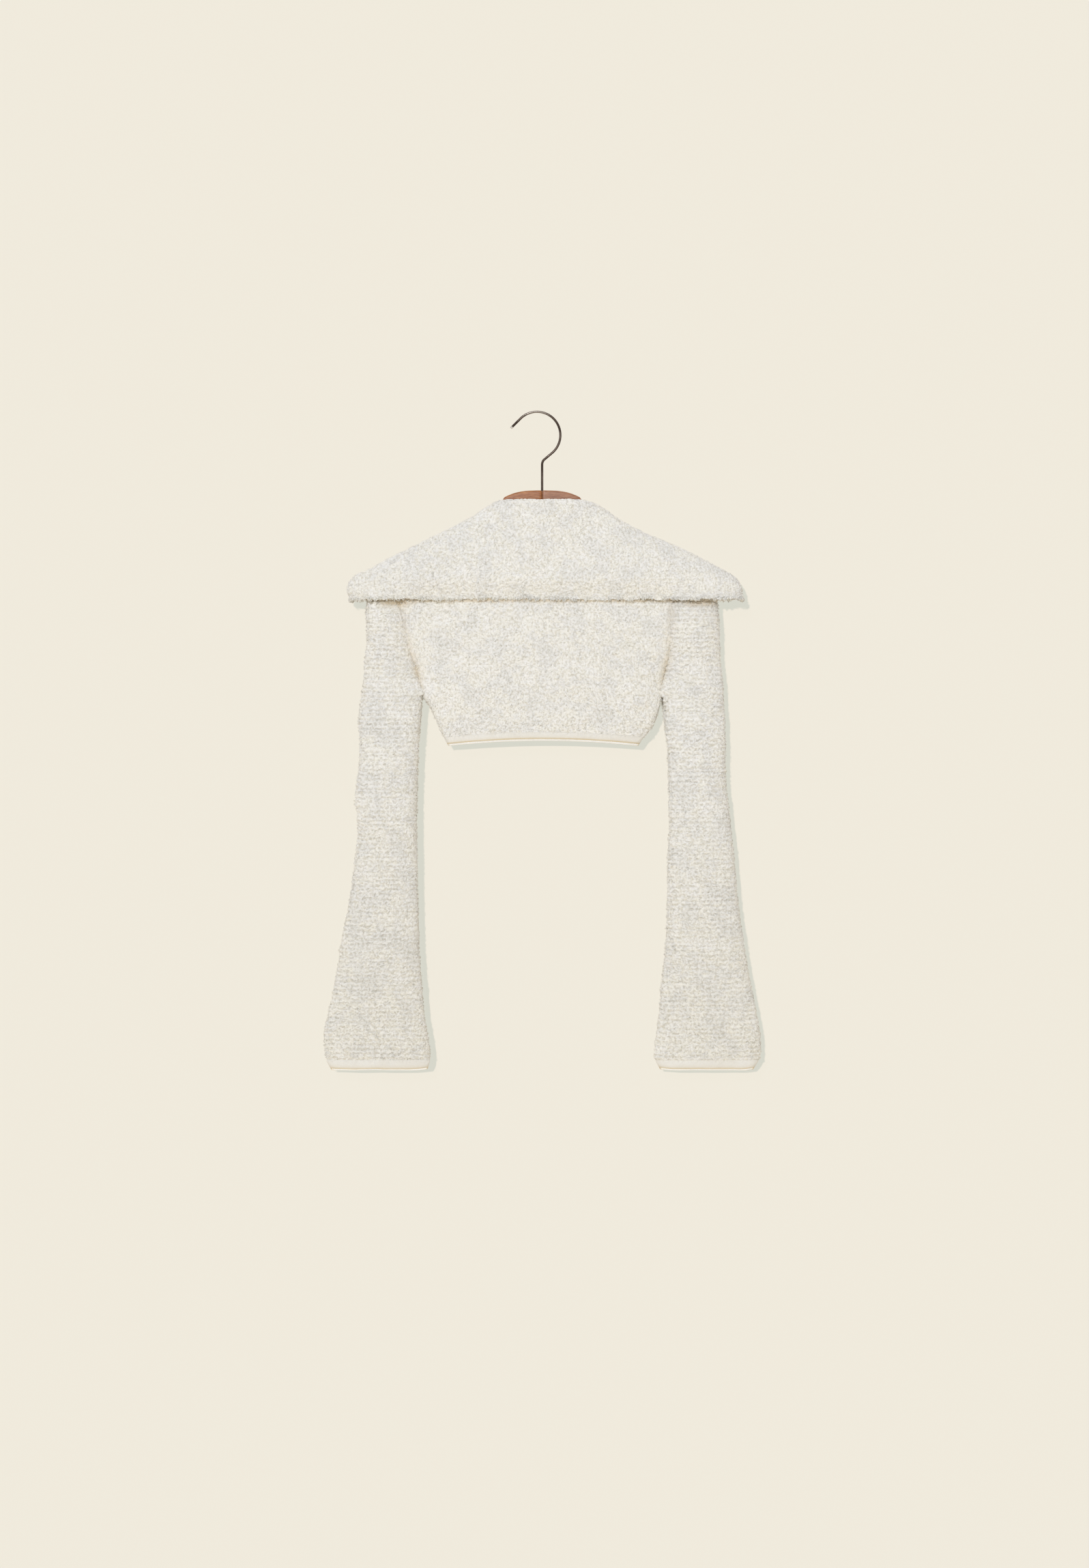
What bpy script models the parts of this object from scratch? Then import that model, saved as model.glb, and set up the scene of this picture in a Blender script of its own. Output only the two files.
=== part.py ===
"""A cropped boucle sweater with a fold-over collar, hung flat on a wooden hanger.

Metres, +Z up, front towards -Y. The origin is the inner crown of the hanger's hook,
where a rod carries it. The tables are in millimetres: "drop" is a distance below the
origin, a left or right edge is measured from the hanger's centre line, and a depth is
measured from the plane of the hanger.
"""

import math

import bmesh
import bpy
import numpy as np

MM = 0.001

KNIT = 3.0  # thickness of the boucle cloth
SEAM_GAP = 0.3  # space between pieces that are sewn or glued together
CENTRE_X = 6.0  # the hanger's centre line lies this far right of the hook's crown
UNDERARM = 330.0  # drop of the point where side seam, armhole and sleeve seam meet
HEM_SEAM = 374.0
HEM_FRONT = 381.5
HEM_BACK = 384.0
HEM_ARCH = 6.0  # the hem is this much lower at its sides than in the middle
HEM_ARCH_FROM = 290.0
CUFF_SEAM = 757.6
CUFF_FRONT = 768.4
CUFF_BACK = 770.8
FOLDED = 7.0  # thickness of the collar's folded top edge
FOLD_DEPTH = 114.0  # drop down to which the collar is folded double
ARMHOLE_DEPTH = 15.0  # half the armhole's width, front to back, where it is widest
ARMHOLE_GAP = 0.5

FRONT_ACROSS = 20
BACK_ACROSS = 14
COLLAR_ACROSS = 18
COLLAR_ROWS = 7
SLEEVE_HALF = 7
SLEEVE_ROWS = 9
CUFF_HALF = 10
SHOULDER_DROPS = (117.0, 130.0, 144.0, 158.0, 170.0)
ARMHOLE_DROPS = (182.0, 192.0, 208.0, 226.0, 248.0, 272.0, 296.0, 314.0, UNDERARM)
WAIST_DROPS = (345.0, 360.0, HEM_SEAM - SEAM_GAP)

WOOD_EDGE = 4.0  # radius of the hanger's long edges
WIRE = 2.9
HOOK_RADIUS = 27.4  # of the wire's centre line
HOOK_TIP_ANGLE = 135.0  # here the bend ends, and the wire runs straight on to its tip
TIP_STRAIGHT = 16.0
HOOK_LEAVES_ANGLE = -50.0
NECK_RADIUS = 8.5
SHANK_BOTTOM = 112.0  # drop to which the wire is set into the wood
SHANK_CLEARANCE = 0.3


def smooth_curve(xs, ys, at):
    """A curve through the points that never swings past them, read at the given places."""
    step = np.diff(xs)
    slope = np.diff(ys) / step
    before, after = slope[:-1], slope[1:]
    turning = before * after <= 0
    near, far = 2 * step[1:] + step[:-1], step[1:] + 2 * step[:-1]
    safe = np.where(turning, 1.0, before), np.where(turning, 1.0, after)
    inner = np.where(turning, 0.0, (near + far) / (near / safe[0] + far / safe[1]))
    tangent = np.concatenate([slope[:1], inner, slope[-1:]])
    k = np.clip(np.searchsorted(xs, at, side="right") - 1, 0, len(xs) - 2)
    t = np.clip((at - xs[k]) / step[k], 0, 1)
    rise = ys[k] * (1 + 2 * t) * (1 - t) ** 2 + ys[k + 1] * t * t * (3 - 2 * t)
    return rise + step[k] * (tangent[k] * t * (1 - t) ** 2 + tangent[k + 1] * t * t * (t - 1))


def smooth_step(start, end, at):
    t = np.clip((at - start) / (end - start), 0, 1)
    return t * t * (3 - 2 * t)


class Table:
    """Sizes down a piece. Each named column is a smooth curve of the first."""

    def __init__(self, columns, rows):
        self.columns = columns.split()
        self.rows = np.array(rows, float)

    def at(self, column, place):
        values = self.rows[:, self.columns.index(column)]
        return smooth_curve(self.rows[:, 0], values, np.asarray(place, float))


# Above the underarm the body's edges are the armhole seams, and "hole" is how far in
# front of and behind the hanger's plane they lie.
BODY = Table(
    "drop left right front back hole_left hole_right",
    (
        (117.0, -63.0, 66.0, 15.5, 15.0, 0.0, 0.0),
        (128.0, -83.0, 84.5, 16.0, 15.5, 0.0, 0.0),
        (140.0, -106.0, 108.0, 16.5, 16.0, 0.0, 0.0),
        (151.0, -129.0, 134.0, 17.5, 16.5, 0.0, 0.0),
        (163.0, -153.0, 161.5, 18.5, 17.5, 0.0, 0.0),
        (169.0, -164.5, 171.0, 19.0, 18.0, 0.0, 3.0),
        (175.0, -175.0, 169.0, 20.0, 18.5, 0.0, 9.5),
        (178.0, -178.0, 168.0, 20.5, 18.7, 3.0, 11.5),
        (183.0, -177.0, 166.5, 21.0, 19.0, 9.5, 12.5),
        (191.0, -175.0, 164.0, 22.0, 19.5, 13.0, 13.5),
        (210.0, -171.0, 158.5, 23.0, 20.5, 14.5, 14.5),
        (229.6, -166.8, 152.4, 24.0, 21.0, 15.0, 15.0),
        (255.0, -160.8, 150.8, 25.0, 22.0, 15.0, 15.0),
        (280.0, -154.8, 149.3, 25.5, 22.0, 13.0, 13.0),
        (300.0, -148.6, 145.2, 25.5, 22.0, 9.0, 9.0),
        (316.0, -143.6, 141.5, 25.0, 21.5, 4.5, 4.5),
        (330.0, -138.5, 139.0, 24.0, 21.0, 0.0, 0.0),
        (341.0, -131.0, 136.5, 23.0, 20.0, 0.0, 0.0),
        (352.0, -124.5, 133.0, 21.5, 19.0, 0.0, 0.0),
        (366.0, -118.5, 125.0, 19.0, 17.0, 0.0, 0.0),
        (374.0, -114.5, 118.5, 17.5, 16.0, 0.0, 0.0),
        (384.0, -110.0, 112.5, 16.5, 15.0, 0.0, 0.0),
    ),
)

# Soft folds of the front and back: place across the panel from 0 to 1, half width as a
# share of the panel, how far the fold stands out, and the drops between which it runs.
FOLDS_FRONT = (
    (0.24, 0.07, 2.0, 225.0, 385.0),
    (0.46, 0.12, -2.6, 240.0, 384.0),
    (0.66, 0.06, 1.8, 250.0, 400.0),
    (0.84, 0.06, -1.6, 215.0, 340.0),
)
FOLDS_BACK = (
    (0.30, 0.08, 1.8, 230.0, 390.0),
    (0.58, 0.10, -2.2, 235.0, 390.0),
    (0.78, 0.06, 1.4, 225.0, 360.0),
)

SLEEVE_COLUMNS = "drop inner outer depth"
SLEEVE_LEFT = Table(
    SLEEVE_COLUMNS,
    (
        (178.5, -178.0, -182.5, 0.0),
        (182.0, -177.3, -190.5, 3.0),
        (187.0, -176.0, -195.5, 6.0),
        (195.0, -174.5, -198.2, 8.0),
        (212.0, -170.6, -199.8, 10.0),
        (236.0, -165.4, -202.4, 12.0),
        (276.0, -155.8, -203.6, 15.0),
        (316.0, -144.0, -206.0, 17.0),
        (330.0, -141.6, -207.0, 17.5),
        (345.0, -142.6, -208.0, 18.0),
        (356.0, -143.4, -208.6, 18.5),
        (396.0, -146.4, -209.4, 20.0),
        (436.0, -147.8, -211.6, 20.5),
        (476.0, -148.4, -214.2, 20.0),
        (516.0, -148.0, -218.4, 19.0),
        (556.0, -147.2, -222.2, 18.5),
        (596.0, -146.4, -229.0, 18.0),
        (636.0, -145.0, -235.4, 17.0),
        (676.0, -142.0, -242.2, 16.0),
        (705.0, -139.4, -248.2, 15.0),
        (736.0, -134.4, -252.6, 14.0),
        (757.6, -132.0, -252.6, 13.0),
        (768.4, -134.0, -247.6, 12.0),
    ),
)
SLEEVE_RIGHT = Table(
    SLEEVE_COLUMNS,
    (
        (170.5, 170.8, 175.5, 0.0),
        (174.0, 169.6, 183.5, 3.0),
        (180.0, 167.7, 194.0, 6.0),
        (188.0, 165.2, 200.0, 8.0),
        (200.0, 161.5, 202.6, 9.0),
        (220.0, 155.4, 204.4, 11.0),
        (236.0, 152.2, 204.8, 13.0),
        (276.0, 149.8, 206.8, 16.0),
        (316.0, 141.9, 210.0, 17.5),
        (330.0, 142.4, 210.6, 18.0),
        (345.0, 144.6, 211.2, 18.5),
        (364.0, 146.8, 211.8, 19.5),
        (396.0, 150.0, 212.4, 20.5),
        (436.0, 151.6, 214.8, 21.0),
        (476.0, 152.2, 218.0, 20.0),
        (516.0, 150.8, 221.6, 19.5),
        (556.0, 150.0, 226.0, 19.0),
        (596.0, 149.2, 230.8, 18.0),
        (636.0, 146.8, 236.6, 17.0),
        (676.0, 142.0, 243.4, 16.0),
        (705.0, 139.6, 248.4, 15.0),
        (736.0, 135.6, 253.4, 14.0),
        (757.6, 133.8, 253.4, 13.0),
        (768.4, 138.0, 248.0, 12.0),
    ),
)

COLLAR = Table(
    "drop left right front back",
    (
        (102.4, -51.5, 52.0, 19.5, 19.0),
        (107.2, -58.0, 62.0, 20.5, 20.0),
        (116.0, -71.0, 76.0, 22.0, 21.0),
        (128.0, -92.0, 93.5, 23.0, 22.0),
        (140.0, -115.0, 117.0, 24.5, 23.0),
        (151.0, -138.0, 143.0, 25.5, 24.0),
        (163.0, -162.0, 170.5, 27.5, 25.5),
        (175.6, -187.0, 194.5, 29.5, 27.0),
        (186.0, -206.0, 214.0, 31.0, 28.5),
        (192.0, -219.0, 224.4, 32.0, 29.0),
        (200.0, -225.5, 230.8, 33.0, 30.0),
        (208.0, -227.6, 233.6, 34.0, 30.5),
        (219.0, -224.6, 234.6, 35.0, 31.0),
    ),
)
COLLAR_TOP_DIP = 2.4  # where the folded edge passes over the wood it lies this much lower
COLLAR_DIP_ENDS = 109.0

# The hanger half: distance from the glue line, the drops of its upper and lower edge, and
# half its thickness.
ARM = Table(
    "out top bottom half",
    (
        (0.0, 90.8, 126.0, 5.5),
        (16.0, 91.2, 126.5, 5.5),
        (28.0, 92.8, 128.0, 5.5),
        (38.0, 96.0, 131.0, 5.5),
        (46.0, 100.3, 135.0, 5.5),
        (50.5, 109.6, 137.0, 5.5),
        (58.0, 119.0, 141.0, 5.5),
        (75.0, 130.4, 149.5, 5.5),
        (104.0, 145.6, 163.0, 5.5),
        (130.0, 158.4, 175.0, 5.5),
        (155.0, 172.4, 187.6, 5.2),
        (176.0, 183.4, 199.0, 4.7),
        (186.0, 190.0, 202.6, 3.6),
        (190.0, 194.0, 200.4, 2.0),
    ),
)


def clear_scene():
    for obj in list(bpy.data.objects):
        bpy.data.objects.remove(obj)


def material(name, colour, roughness, metallic=0.0):
    made = bpy.data.materials.new(name)
    made.use_nodes = True
    shader = made.node_tree.nodes["Principled BSDF"]
    shader.inputs["Base Color"].default_value = (*colour, 1.0)
    shader.inputs["Roughness"].default_value = roughness
    shader.inputs["Metallic"].default_value = metallic
    return made


def add_object(name, verts, faces, finish):
    """A named mesh object; its points come in millimetres from the hanger's centre line."""
    mesh = bpy.data.meshes.new(name)
    points = (np.asarray(verts, float) + (CENTRE_X, 0, 0)) * MM
    mesh.from_pydata([tuple(p) for p in points], [], faces)
    mesh.materials.append(finish)
    mesh.validate()
    shaped = bmesh.new()
    shaped.from_mesh(mesh)
    bmesh.ops.recalc_face_normals(shaped, faces=shaped.faces)
    shaped.to_mesh(mesh)
    shaped.free()
    mesh.shade_smooth()
    mesh.set_sharp_from_angle(angle=math.radians(50))
    obj = bpy.data.objects.new(name, mesh)
    bpy.context.collection.objects.link(obj)
    return obj


def grid_normals(grid):
    """Unit normals of a grid of points, rows down and columns round the piece."""
    across = np.gradient(grid, axis=1)
    down = np.gradient(grid, axis=0)
    normal = np.cross(across, down)
    return normal / np.linalg.norm(normal, axis=2, keepdims=True)


def seam_normals(normals, openness):
    """At the panel's first and last column the rim lies square to its seam."""
    for column, hole in ((0, openness[0]), (-1, openness[1])):
        flat = normals[:, column] * (1, 0, 1)
        flat /= np.linalg.norm(flat, axis=1, keepdims=True)
        square = np.zeros_like(flat)
        square[:, 1] = np.sign(normals[:, column, 1])
        mixed = flat * (1 - hole)[:, None] + square * hole[:, None]
        normals[:, column] = mixed / np.linalg.norm(mixed, axis=1, keepdims=True)
    return normals


def cloth_wall(name, grid, normals, thickness, side, level_rows, finish):
    """A closed wall: the outer grid, the same grid moved in along its normals, and a rim.

    side gives for each column whether it stays in front of the hanger's plane (-1),
    behind it (1), or may cross it (0). The rim is level at level_rows, where a band is
    sewn on.
    """
    for row in level_rows:
        normals[row] *= (1, 1, 0)
        normals[row] /= np.linalg.norm(normals[row], axis=1, keepdims=True)
    inner = grid - normals * np.broadcast_to(thickness, grid.shape[:2])[..., None]
    half_gap = SEAM_GAP / 2
    inner[:, side < 0, 1] = np.minimum(inner[:, side < 0, 1], -half_gap)
    inner[:, side > 0, 1] = np.maximum(inner[:, side > 0, 1], half_gap)
    rows, columns = grid.shape[:2]
    count = rows * columns
    verts = np.concatenate([grid.reshape(-1, 3), inner.reshape(-1, 3)])
    faces = []
    for i in range(rows - 1):
        for j in range(columns - 1):
            a, b = i * columns + j, (i + 1) * columns + j
            faces.append((a, a + 1, b + 1, b))
            faces.append((count + a, count + b, count + b + 1, count + a + 1))
    for j in range(columns - 1):
        top, bottom = j, (rows - 1) * columns + j
        faces.append((top + 1, top, count + top, count + top + 1))
        faces.append((bottom, bottom + 1, count + bottom + 1, count + bottom))
    for i in range(rows - 1):
        first, last = i * columns, i * columns + columns - 1
        faces.append((first, first + columns, count + first + columns, count + first))
        faces.append((last + columns, last, count + last, count + last + columns))
    return add_object(name, verts, faces, finish)


def panel(table, drops, across, front, hole=(None, None)):
    """One half of a flat tube: a grid from its left edge to its right, on one side."""
    s = np.linspace(0, 1, across + 1)[None, :]
    drop = np.asarray(drops, float)[:, None]
    left, right = table.at("left", drop), table.at("right", drop)
    depth = table.at("front" if front else "back", drop)
    holes = [table.at(name, drop) if name else 0 * drop for name in hole]
    openness = np.clip(np.maximum(*holes) / ARMHOLE_DEPTH, 0, 1)
    g = (1 - openness) * (1 - np.cos(np.pi * s)) / 2 + openness * s
    edge = holes[0] * (1 - g) + holes[1] * g
    power = 0.55 + 0.45 * openness
    swell = np.clip(np.sin(np.pi * s), 0, 1) ** power
    y = np.maximum(edge + (depth - edge) * swell, SEAM_GAP / 2)
    grid = np.stack([left + (right - left) * g, y, -drop + 0 * g], axis=2)
    return grid, g, [np.clip(h[:, 0] / ARMHOLE_DEPTH, 0, 1) for h in holes]


def with_folds(grid, g, folds):
    drop = -grid[..., 2]
    for place, half_width, height, start, end in folds:
        across = np.exp(-(((g - place) / half_width) ** 2))
        middle, reach = (start + end) / 2, (end - start) / 2
        along = np.clip(1 - ((drop - middle) / reach) ** 2, 0, 1)
        grid[..., 1] += height * across * along
    return grid


def with_hem_arch(grid, g):
    drop = -grid[..., 2]
    grid[..., 2] -= HEM_ARCH * smooth_step(HEM_ARCH_FROM, HEM_SEAM, drop) * (2 * g - 1) ** 2
    return grid


def faced(grid, front):
    """The grid on its own side of the hanger, with columns that give outward normals."""
    if front:
        return grid * (1, -1, 1)
    return grid[:, ::-1]


def outward(grid, front):
    normals = grid_normals(grid)
    if (normals[..., 1].mean() > 0) == front:
        normals = -normals
    return normals


def half_wall(name, grid, front, openness, thickness, level_rows, finish):
    """The wall of a front or back half, from its grid on the positive side."""
    grid = faced(grid, front)
    if not front:
        openness = openness[::-1]
    normals = seam_normals(outward(grid, front), openness)
    side = np.full(grid.shape[1], -1 if front else 1)
    cloth_wall(name, grid, normals, thickness, side, level_rows, finish)


def body_panel(name, front, drops, across, folds, level_rows, finish):
    grid, g, openness = panel(BODY, drops, across, front, ("hole_left", "hole_right"))
    grid = with_hem_arch(with_folds(grid, g, folds), g)
    half_wall(name, grid, front, openness, KNIT, level_rows, finish)


def build_body(finish):
    drops = SHOULDER_DROPS + ARMHOLE_DROPS + WAIST_DROPS
    body_panel("body_front", True, drops, FRONT_ACROSS, FOLDS_FRONT, (-1,), finish)
    body_panel("body_back", False, drops, BACK_ACROSS, FOLDS_BACK, (-1,), finish)


def build_hem(finish):
    for name, front, bottom, across in (
        ("hem_band_front", True, HEM_FRONT, FRONT_ACROSS),
        ("hem_band_back", False, HEM_BACK, BACK_ACROSS),
    ):
        body_panel(name, front, (HEM_SEAM, bottom), across, (), (0, -1), finish)


def build_collar(finish):
    top, bottom = COLLAR.rows[0, 0], COLLAR.rows[-1, 0]
    folded_rows = (top, (top + FOLD_DEPTH) / 2, FOLD_DEPTH, FOLD_DEPTH + 1.2)
    drops = np.concatenate([folded_rows, np.linspace(126.0, bottom, COLLAR_ROWS + 1)])
    middle = np.sin(np.pi * np.linspace(0, 1, COLLAR_ACROSS + 1))[None, :]
    dip = COLLAR_TOP_DIP * (1 - smooth_step(top, COLLAR_DIP_ENDS, drops))[:, None]
    doubled = (drops <= FOLD_DEPTH)[:, None] * smooth_step(0.3, 0.8, middle)
    thickness = KNIT + (FOLDED - KNIT) * doubled
    for name, front in (("collar_front", True), ("collar_back", False)):
        grid, _, openness = panel(COLLAR, drops, COLLAR_ACROSS, front)
        grid[..., 2] -= dip * (1 - middle) ** 2
        half_wall(name, grid, front, openness, thickness, (), finish)


def sleeve_grid(table, drops, half, side):
    """Columns run from the sleeve seam round the front to the outer fold and back behind."""
    s = np.concatenate([np.linspace(0, 1, half + 1), np.linspace(1, 0, half + 1)[1:]])[None, :]
    face = np.sign(np.arange(2 * half + 1) - half)[None, :]
    drop = np.asarray(drops, float)[:, None]
    edge, hole = ("left", "hole_left") if side < 0 else ("right", "hole_right")
    depth_at_seam = np.where(drop < UNDERARM, BODY.at(hole, drop), 0)
    openness = np.clip(depth_at_seam / ARMHOLE_DEPTH, 0, 1)
    seam = BODY.at(edge, drop) + side * ARMHOLE_GAP
    inner = np.where(drop < UNDERARM, seam, table.at("inner", drop))
    outer = table.at("outer", drop)
    g = (1 - openness) * (1 - np.cos(np.pi * s)) / 2 + openness * np.sin(np.pi * s / 2)
    round_end = np.clip(np.sin(np.pi * s), 0, 1)
    depth = table.at("depth", drop)
    closed = depth * round_end**0.75
    opened = depth_at_seam * np.cos(np.pi * s / 2) ** 0.8 + 0.45 * depth * round_end
    y = np.maximum((1 - openness) * closed + openness * opened, SEAM_GAP / 2 * (s < 0.5))
    grid = np.stack([inner + (outer - inner) * g, face * y, -drop + 0 * g], axis=2)
    return grid, openness[:, 0]


def sleeve_wall(name, table, drops, half, side, back_drop, level_rows, finish):
    grid, openness = sleeve_grid(table, drops, half, side)
    face = np.sign(np.arange(2 * half + 1) - half)
    lowered = np.linspace(0, 1, len(drops))[:, None]
    grid[..., 2] -= back_drop * lowered * smooth_step(0, 4, np.maximum(grid[..., 1], 0))
    normals = grid_normals(grid)
    centre = grid.mean(axis=1, keepdims=True)
    if ((grid - centre) * normals).sum() < 0:
        normals = -normals
    normals = seam_normals(normals, (openness, openness))
    width = np.abs(grid[:, half, 0] - grid[:, 0, 0])
    thickness = np.clip(0.4 * width, 1.0, KNIT)[:, None]
    cloth_wall(name, grid, normals, thickness, face, level_rows, finish)


def build_sleeves(knit, band):
    for name, table, side in (("left", SLEEVE_LEFT, -1), ("right", SLEEVE_RIGHT, 1)):
        top = table.rows[0, 0]
        cap = (top, top + 3.5) if side < 0 else (top, top + 3.5, top + 7.5)
        lower = np.linspace(UNDERARM + 12.0, CUFF_SEAM - SEAM_GAP, SLEEVE_ROWS)
        drops = np.concatenate([cap, ARMHOLE_DROPS[len(cap) < 3 :], lower])
        sleeve_wall(f"sleeve_{name}", table, drops, SLEEVE_HALF, side, 0.0, (-1,), knit)
        cuff = (CUFF_SEAM, CUFF_SEAM + 5.0, CUFF_FRONT)
        lowered = CUFF_BACK - CUFF_FRONT
        sleeve_wall(f"cuff_band_{name}", table, cuff, CUFF_HALF, side, lowered, (0, -1), band)


def arm_section(out, top, bottom, half):
    """A rounded rectangle across the hanger, three points to a corner."""
    radius = min(WOOD_EDGE, half - 0.5, (bottom - top) / 2 - 0.5)
    corners = (
        (half - radius, top + radius, 0),
        (half - radius, bottom - radius, 90),
        (radius - half, bottom - radius, 180),
        (radius - half, top + radius, 270),
    )
    for y, drop, start in corners:
        for turn in (0, 45, 90):
            angle = math.radians(start + turn)
            yield (out, y + radius * math.sin(angle), -drop + radius * math.cos(angle))


def shank_cutter():
    bpy.ops.mesh.primitive_cylinder_add(
        vertices=16,
        radius=(WIRE / 2 + SHANK_CLEARANCE) * MM,
        depth=60 * MM,
        location=(CENTRE_X * MM, 0, (30 - SHANK_BOTTOM - SHANK_CLEARANCE) * MM),
    )
    cutter = bpy.context.object
    cutter.name = "shank_hole"
    cutter.hide_render = True
    cutter.display_type = "WIRE"
    return cutter


def build_hanger_arms(finishes):
    cutter = shank_cutter()
    outs = np.concatenate([[SEAM_GAP / 2], ARM.rows[1:, 0]])
    sizes = [ARM.at(column, outs) for column in ("top", "bottom", "half")]
    for name, side in (("left", -1), ("right", 1)):
        verts, faces = [], []
        for section in zip(side * outs, *sizes):
            verts.extend(arm_section(*section))
        ring = len(verts) // len(outs)
        for i in range(len(outs) - 1):
            for j in range(ring):
                a, b = i * ring + j, i * ring + (j + 1) % ring
                faces.append((a, b, b + ring, a + ring))
        faces.append(tuple(range(ring)))
        faces.append(tuple(range(len(verts) - ring, len(verts))))
        arm = add_object(f"hanger_arm_{name}", verts, faces, finishes[name])
        hole = arm.modifiers.new("shank_hole", "BOOLEAN")
        hole.operation = "DIFFERENCE"
        hole.object = cutter


def hook_route():
    """The wire's centre line from its tip over the crown, round the neck and down the shank."""
    centre = np.array((0.0, WIRE / 2 - HOOK_RADIUS))
    angles = np.radians(np.linspace(HOOK_TIP_ANGLE, HOOK_LEAVES_ANGLE, 20))
    bend = centre + HOOK_RADIUS * np.stack([np.cos(angles), np.sin(angles)], axis=1)
    tip = bend[0] + TIP_STRAIGHT * np.array((-math.sin(angles[0]), math.cos(angles[0])))
    # A straight runs from the bend to the neck, which turns the wire upright again.
    heading = math.radians(HOOK_LEAVES_ANGLE)
    turn = math.pi / 2 + heading
    sideways = NECK_RADIUS * (1 - math.cos(turn))
    along = np.array((math.sin(heading), -math.cos(heading)))
    straight = (bend[-1][0] - CENTRE_X - sideways) / abs(along[0])
    start = bend[-1] + along * straight
    middle = start + NECK_RADIUS * np.array((math.cos(turn), -math.sin(turn)))
    sweep = np.linspace(math.pi - turn, math.pi, 6)
    neck = middle + NECK_RADIUS * np.stack([np.cos(sweep), np.sin(sweep)], axis=1)
    shank = np.array(((CENTRE_X, -80.0), (CENTRE_X, -SHANK_BOTTOM)))
    return np.concatenate([[tip], bend, neck, shank])


def build_hook(finish):
    route = hook_route()
    curve = bpy.data.curves.new("hanger_hook", "CURVE")
    curve.dimensions = "3D"
    curve.bevel_depth = WIRE / 2 * MM
    curve.bevel_resolution = 3
    curve.use_fill_caps = True
    spline = curve.splines.new("POLY")
    spline.points.add(len(route) - 1)
    for point, (x, z) in zip(spline.points, route):
        point.co = (x * MM, 0, z * MM, 1)
    curve.materials.append(finish)
    obj = bpy.data.objects.new("hanger_hook", curve)
    bpy.context.collection.objects.link(obj)


def main():
    clear_scene()
    knit = material("boucle_knit", (0.80, 0.78, 0.70), 0.95)
    band = material("smooth_knit_band", (0.80, 0.76, 0.68), 0.9)
    woods = {
        "left": material("wood_warm", (0.42, 0.21, 0.11), 0.5),
        "right": material("wood_grey", (0.38, 0.21, 0.14), 0.5),
    }
    steel = material("hook_steel", (0.42, 0.38, 0.35), 0.3, 1.0)
    build_hanger_arms(woods)
    build_hook(steel)
    build_body(knit)
    build_hem(band)
    build_sleeves(knit, band)
    build_collar(knit)


main()
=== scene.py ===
"""The looks of a cropped boucle sweater with a fold-over collar, hung on a wooden hanger.

Sizes are in millimetres. "Drop" is the distance below the inner crown of the hook, left and
right edges are measured from the hanger's centre line, and depths from the hanger's plane.
Each cloth piece is a thin shell on the form of its CAD solid: its face has the relief of
the looped yarn, and a pile of small curls stands on it as a piece of its own.
"""

import math

import bpy
import numpy as np
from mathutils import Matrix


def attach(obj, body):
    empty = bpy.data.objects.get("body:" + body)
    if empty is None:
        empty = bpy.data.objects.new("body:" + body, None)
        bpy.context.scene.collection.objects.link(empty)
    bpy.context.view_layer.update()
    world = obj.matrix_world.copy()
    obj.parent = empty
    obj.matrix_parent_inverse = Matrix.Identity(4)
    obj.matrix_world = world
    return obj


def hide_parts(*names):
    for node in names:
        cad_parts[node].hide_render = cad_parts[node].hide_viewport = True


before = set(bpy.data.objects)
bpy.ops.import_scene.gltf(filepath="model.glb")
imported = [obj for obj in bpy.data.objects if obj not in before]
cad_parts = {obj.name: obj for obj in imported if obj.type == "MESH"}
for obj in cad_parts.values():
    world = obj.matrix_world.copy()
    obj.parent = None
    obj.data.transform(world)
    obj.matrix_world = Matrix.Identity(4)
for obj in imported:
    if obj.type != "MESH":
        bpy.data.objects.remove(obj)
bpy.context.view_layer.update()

MM = 0.001
CENTRE_X = 6.0
SEAM_GAP = 0.3
BAND_GAP = 0.1  # between the knit and the binding sewn to it

# The cloth
FACE_STEP = 1.3  # spacing of the points on the face of a front or a sleeve
BACK_STEP = 1.9  # the same on the backs
HIDDEN_STEP = 5.0  # the same under the collar
LINING_STEPS = 4  # the inner face has one point for every so many on the outer face
KNIT_WALL = 2.2
BAND_WALL = 2.0
UNDERARM = 330.0
HEM_SEAM = 374.0
HEM_FRONT = 382.2
HEM_BACK = 384.0
HEM_ARCH = 6.0
HEM_ARCH_FROM = 290.0
CUFF_SEAM = 757.6
CUFF_FRONT = 768.4
CUFF_BACK = 770.8
CUFF_CORNER = 2.2  # how much the corners of a cuff are rounded
COLLAR_FOLD = 7.0  # the folded top edge of the collar is this thick
COLLAR_TUCK = 118.0  # drop to which its inner layer reaches
COLLAR_TOP_DIP = 2.4
COLLAR_LIES_DOWN = 9.5  # how far its lower edge bends in towards the body
COLLAR_DIP_ENDS = 109.0
COLLAR_COVERS = 204.0  # drop above which body and sleeves lie under the collar
ARMHOLE_DEPTH = 15.0
ARMHOLE_GAP = -1.5
BAND_SWELL = 0.5
SEWN_EDGE = 3.0  # the relief dies away over this height above a band
HIDDEN_LINE = (COLLAR_COVERS - 6, COLLAR_COVERS + 2)  # over these drops the relief sets in
COLLAR_SHADES = 224.0  # drop to which the collar's edge shades the cloth below it
EDGE_STEPS = 2 * LINING_STEPS + 1  # rows of points in a band, and round a fold
# Painted light: the inner face of a binding glows a little, standing in for light that comes
# through a single layer.
BAND_PAINTED_GLOW = 0.44  # of a lit white sheet: what a single layer of binding lets through

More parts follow.
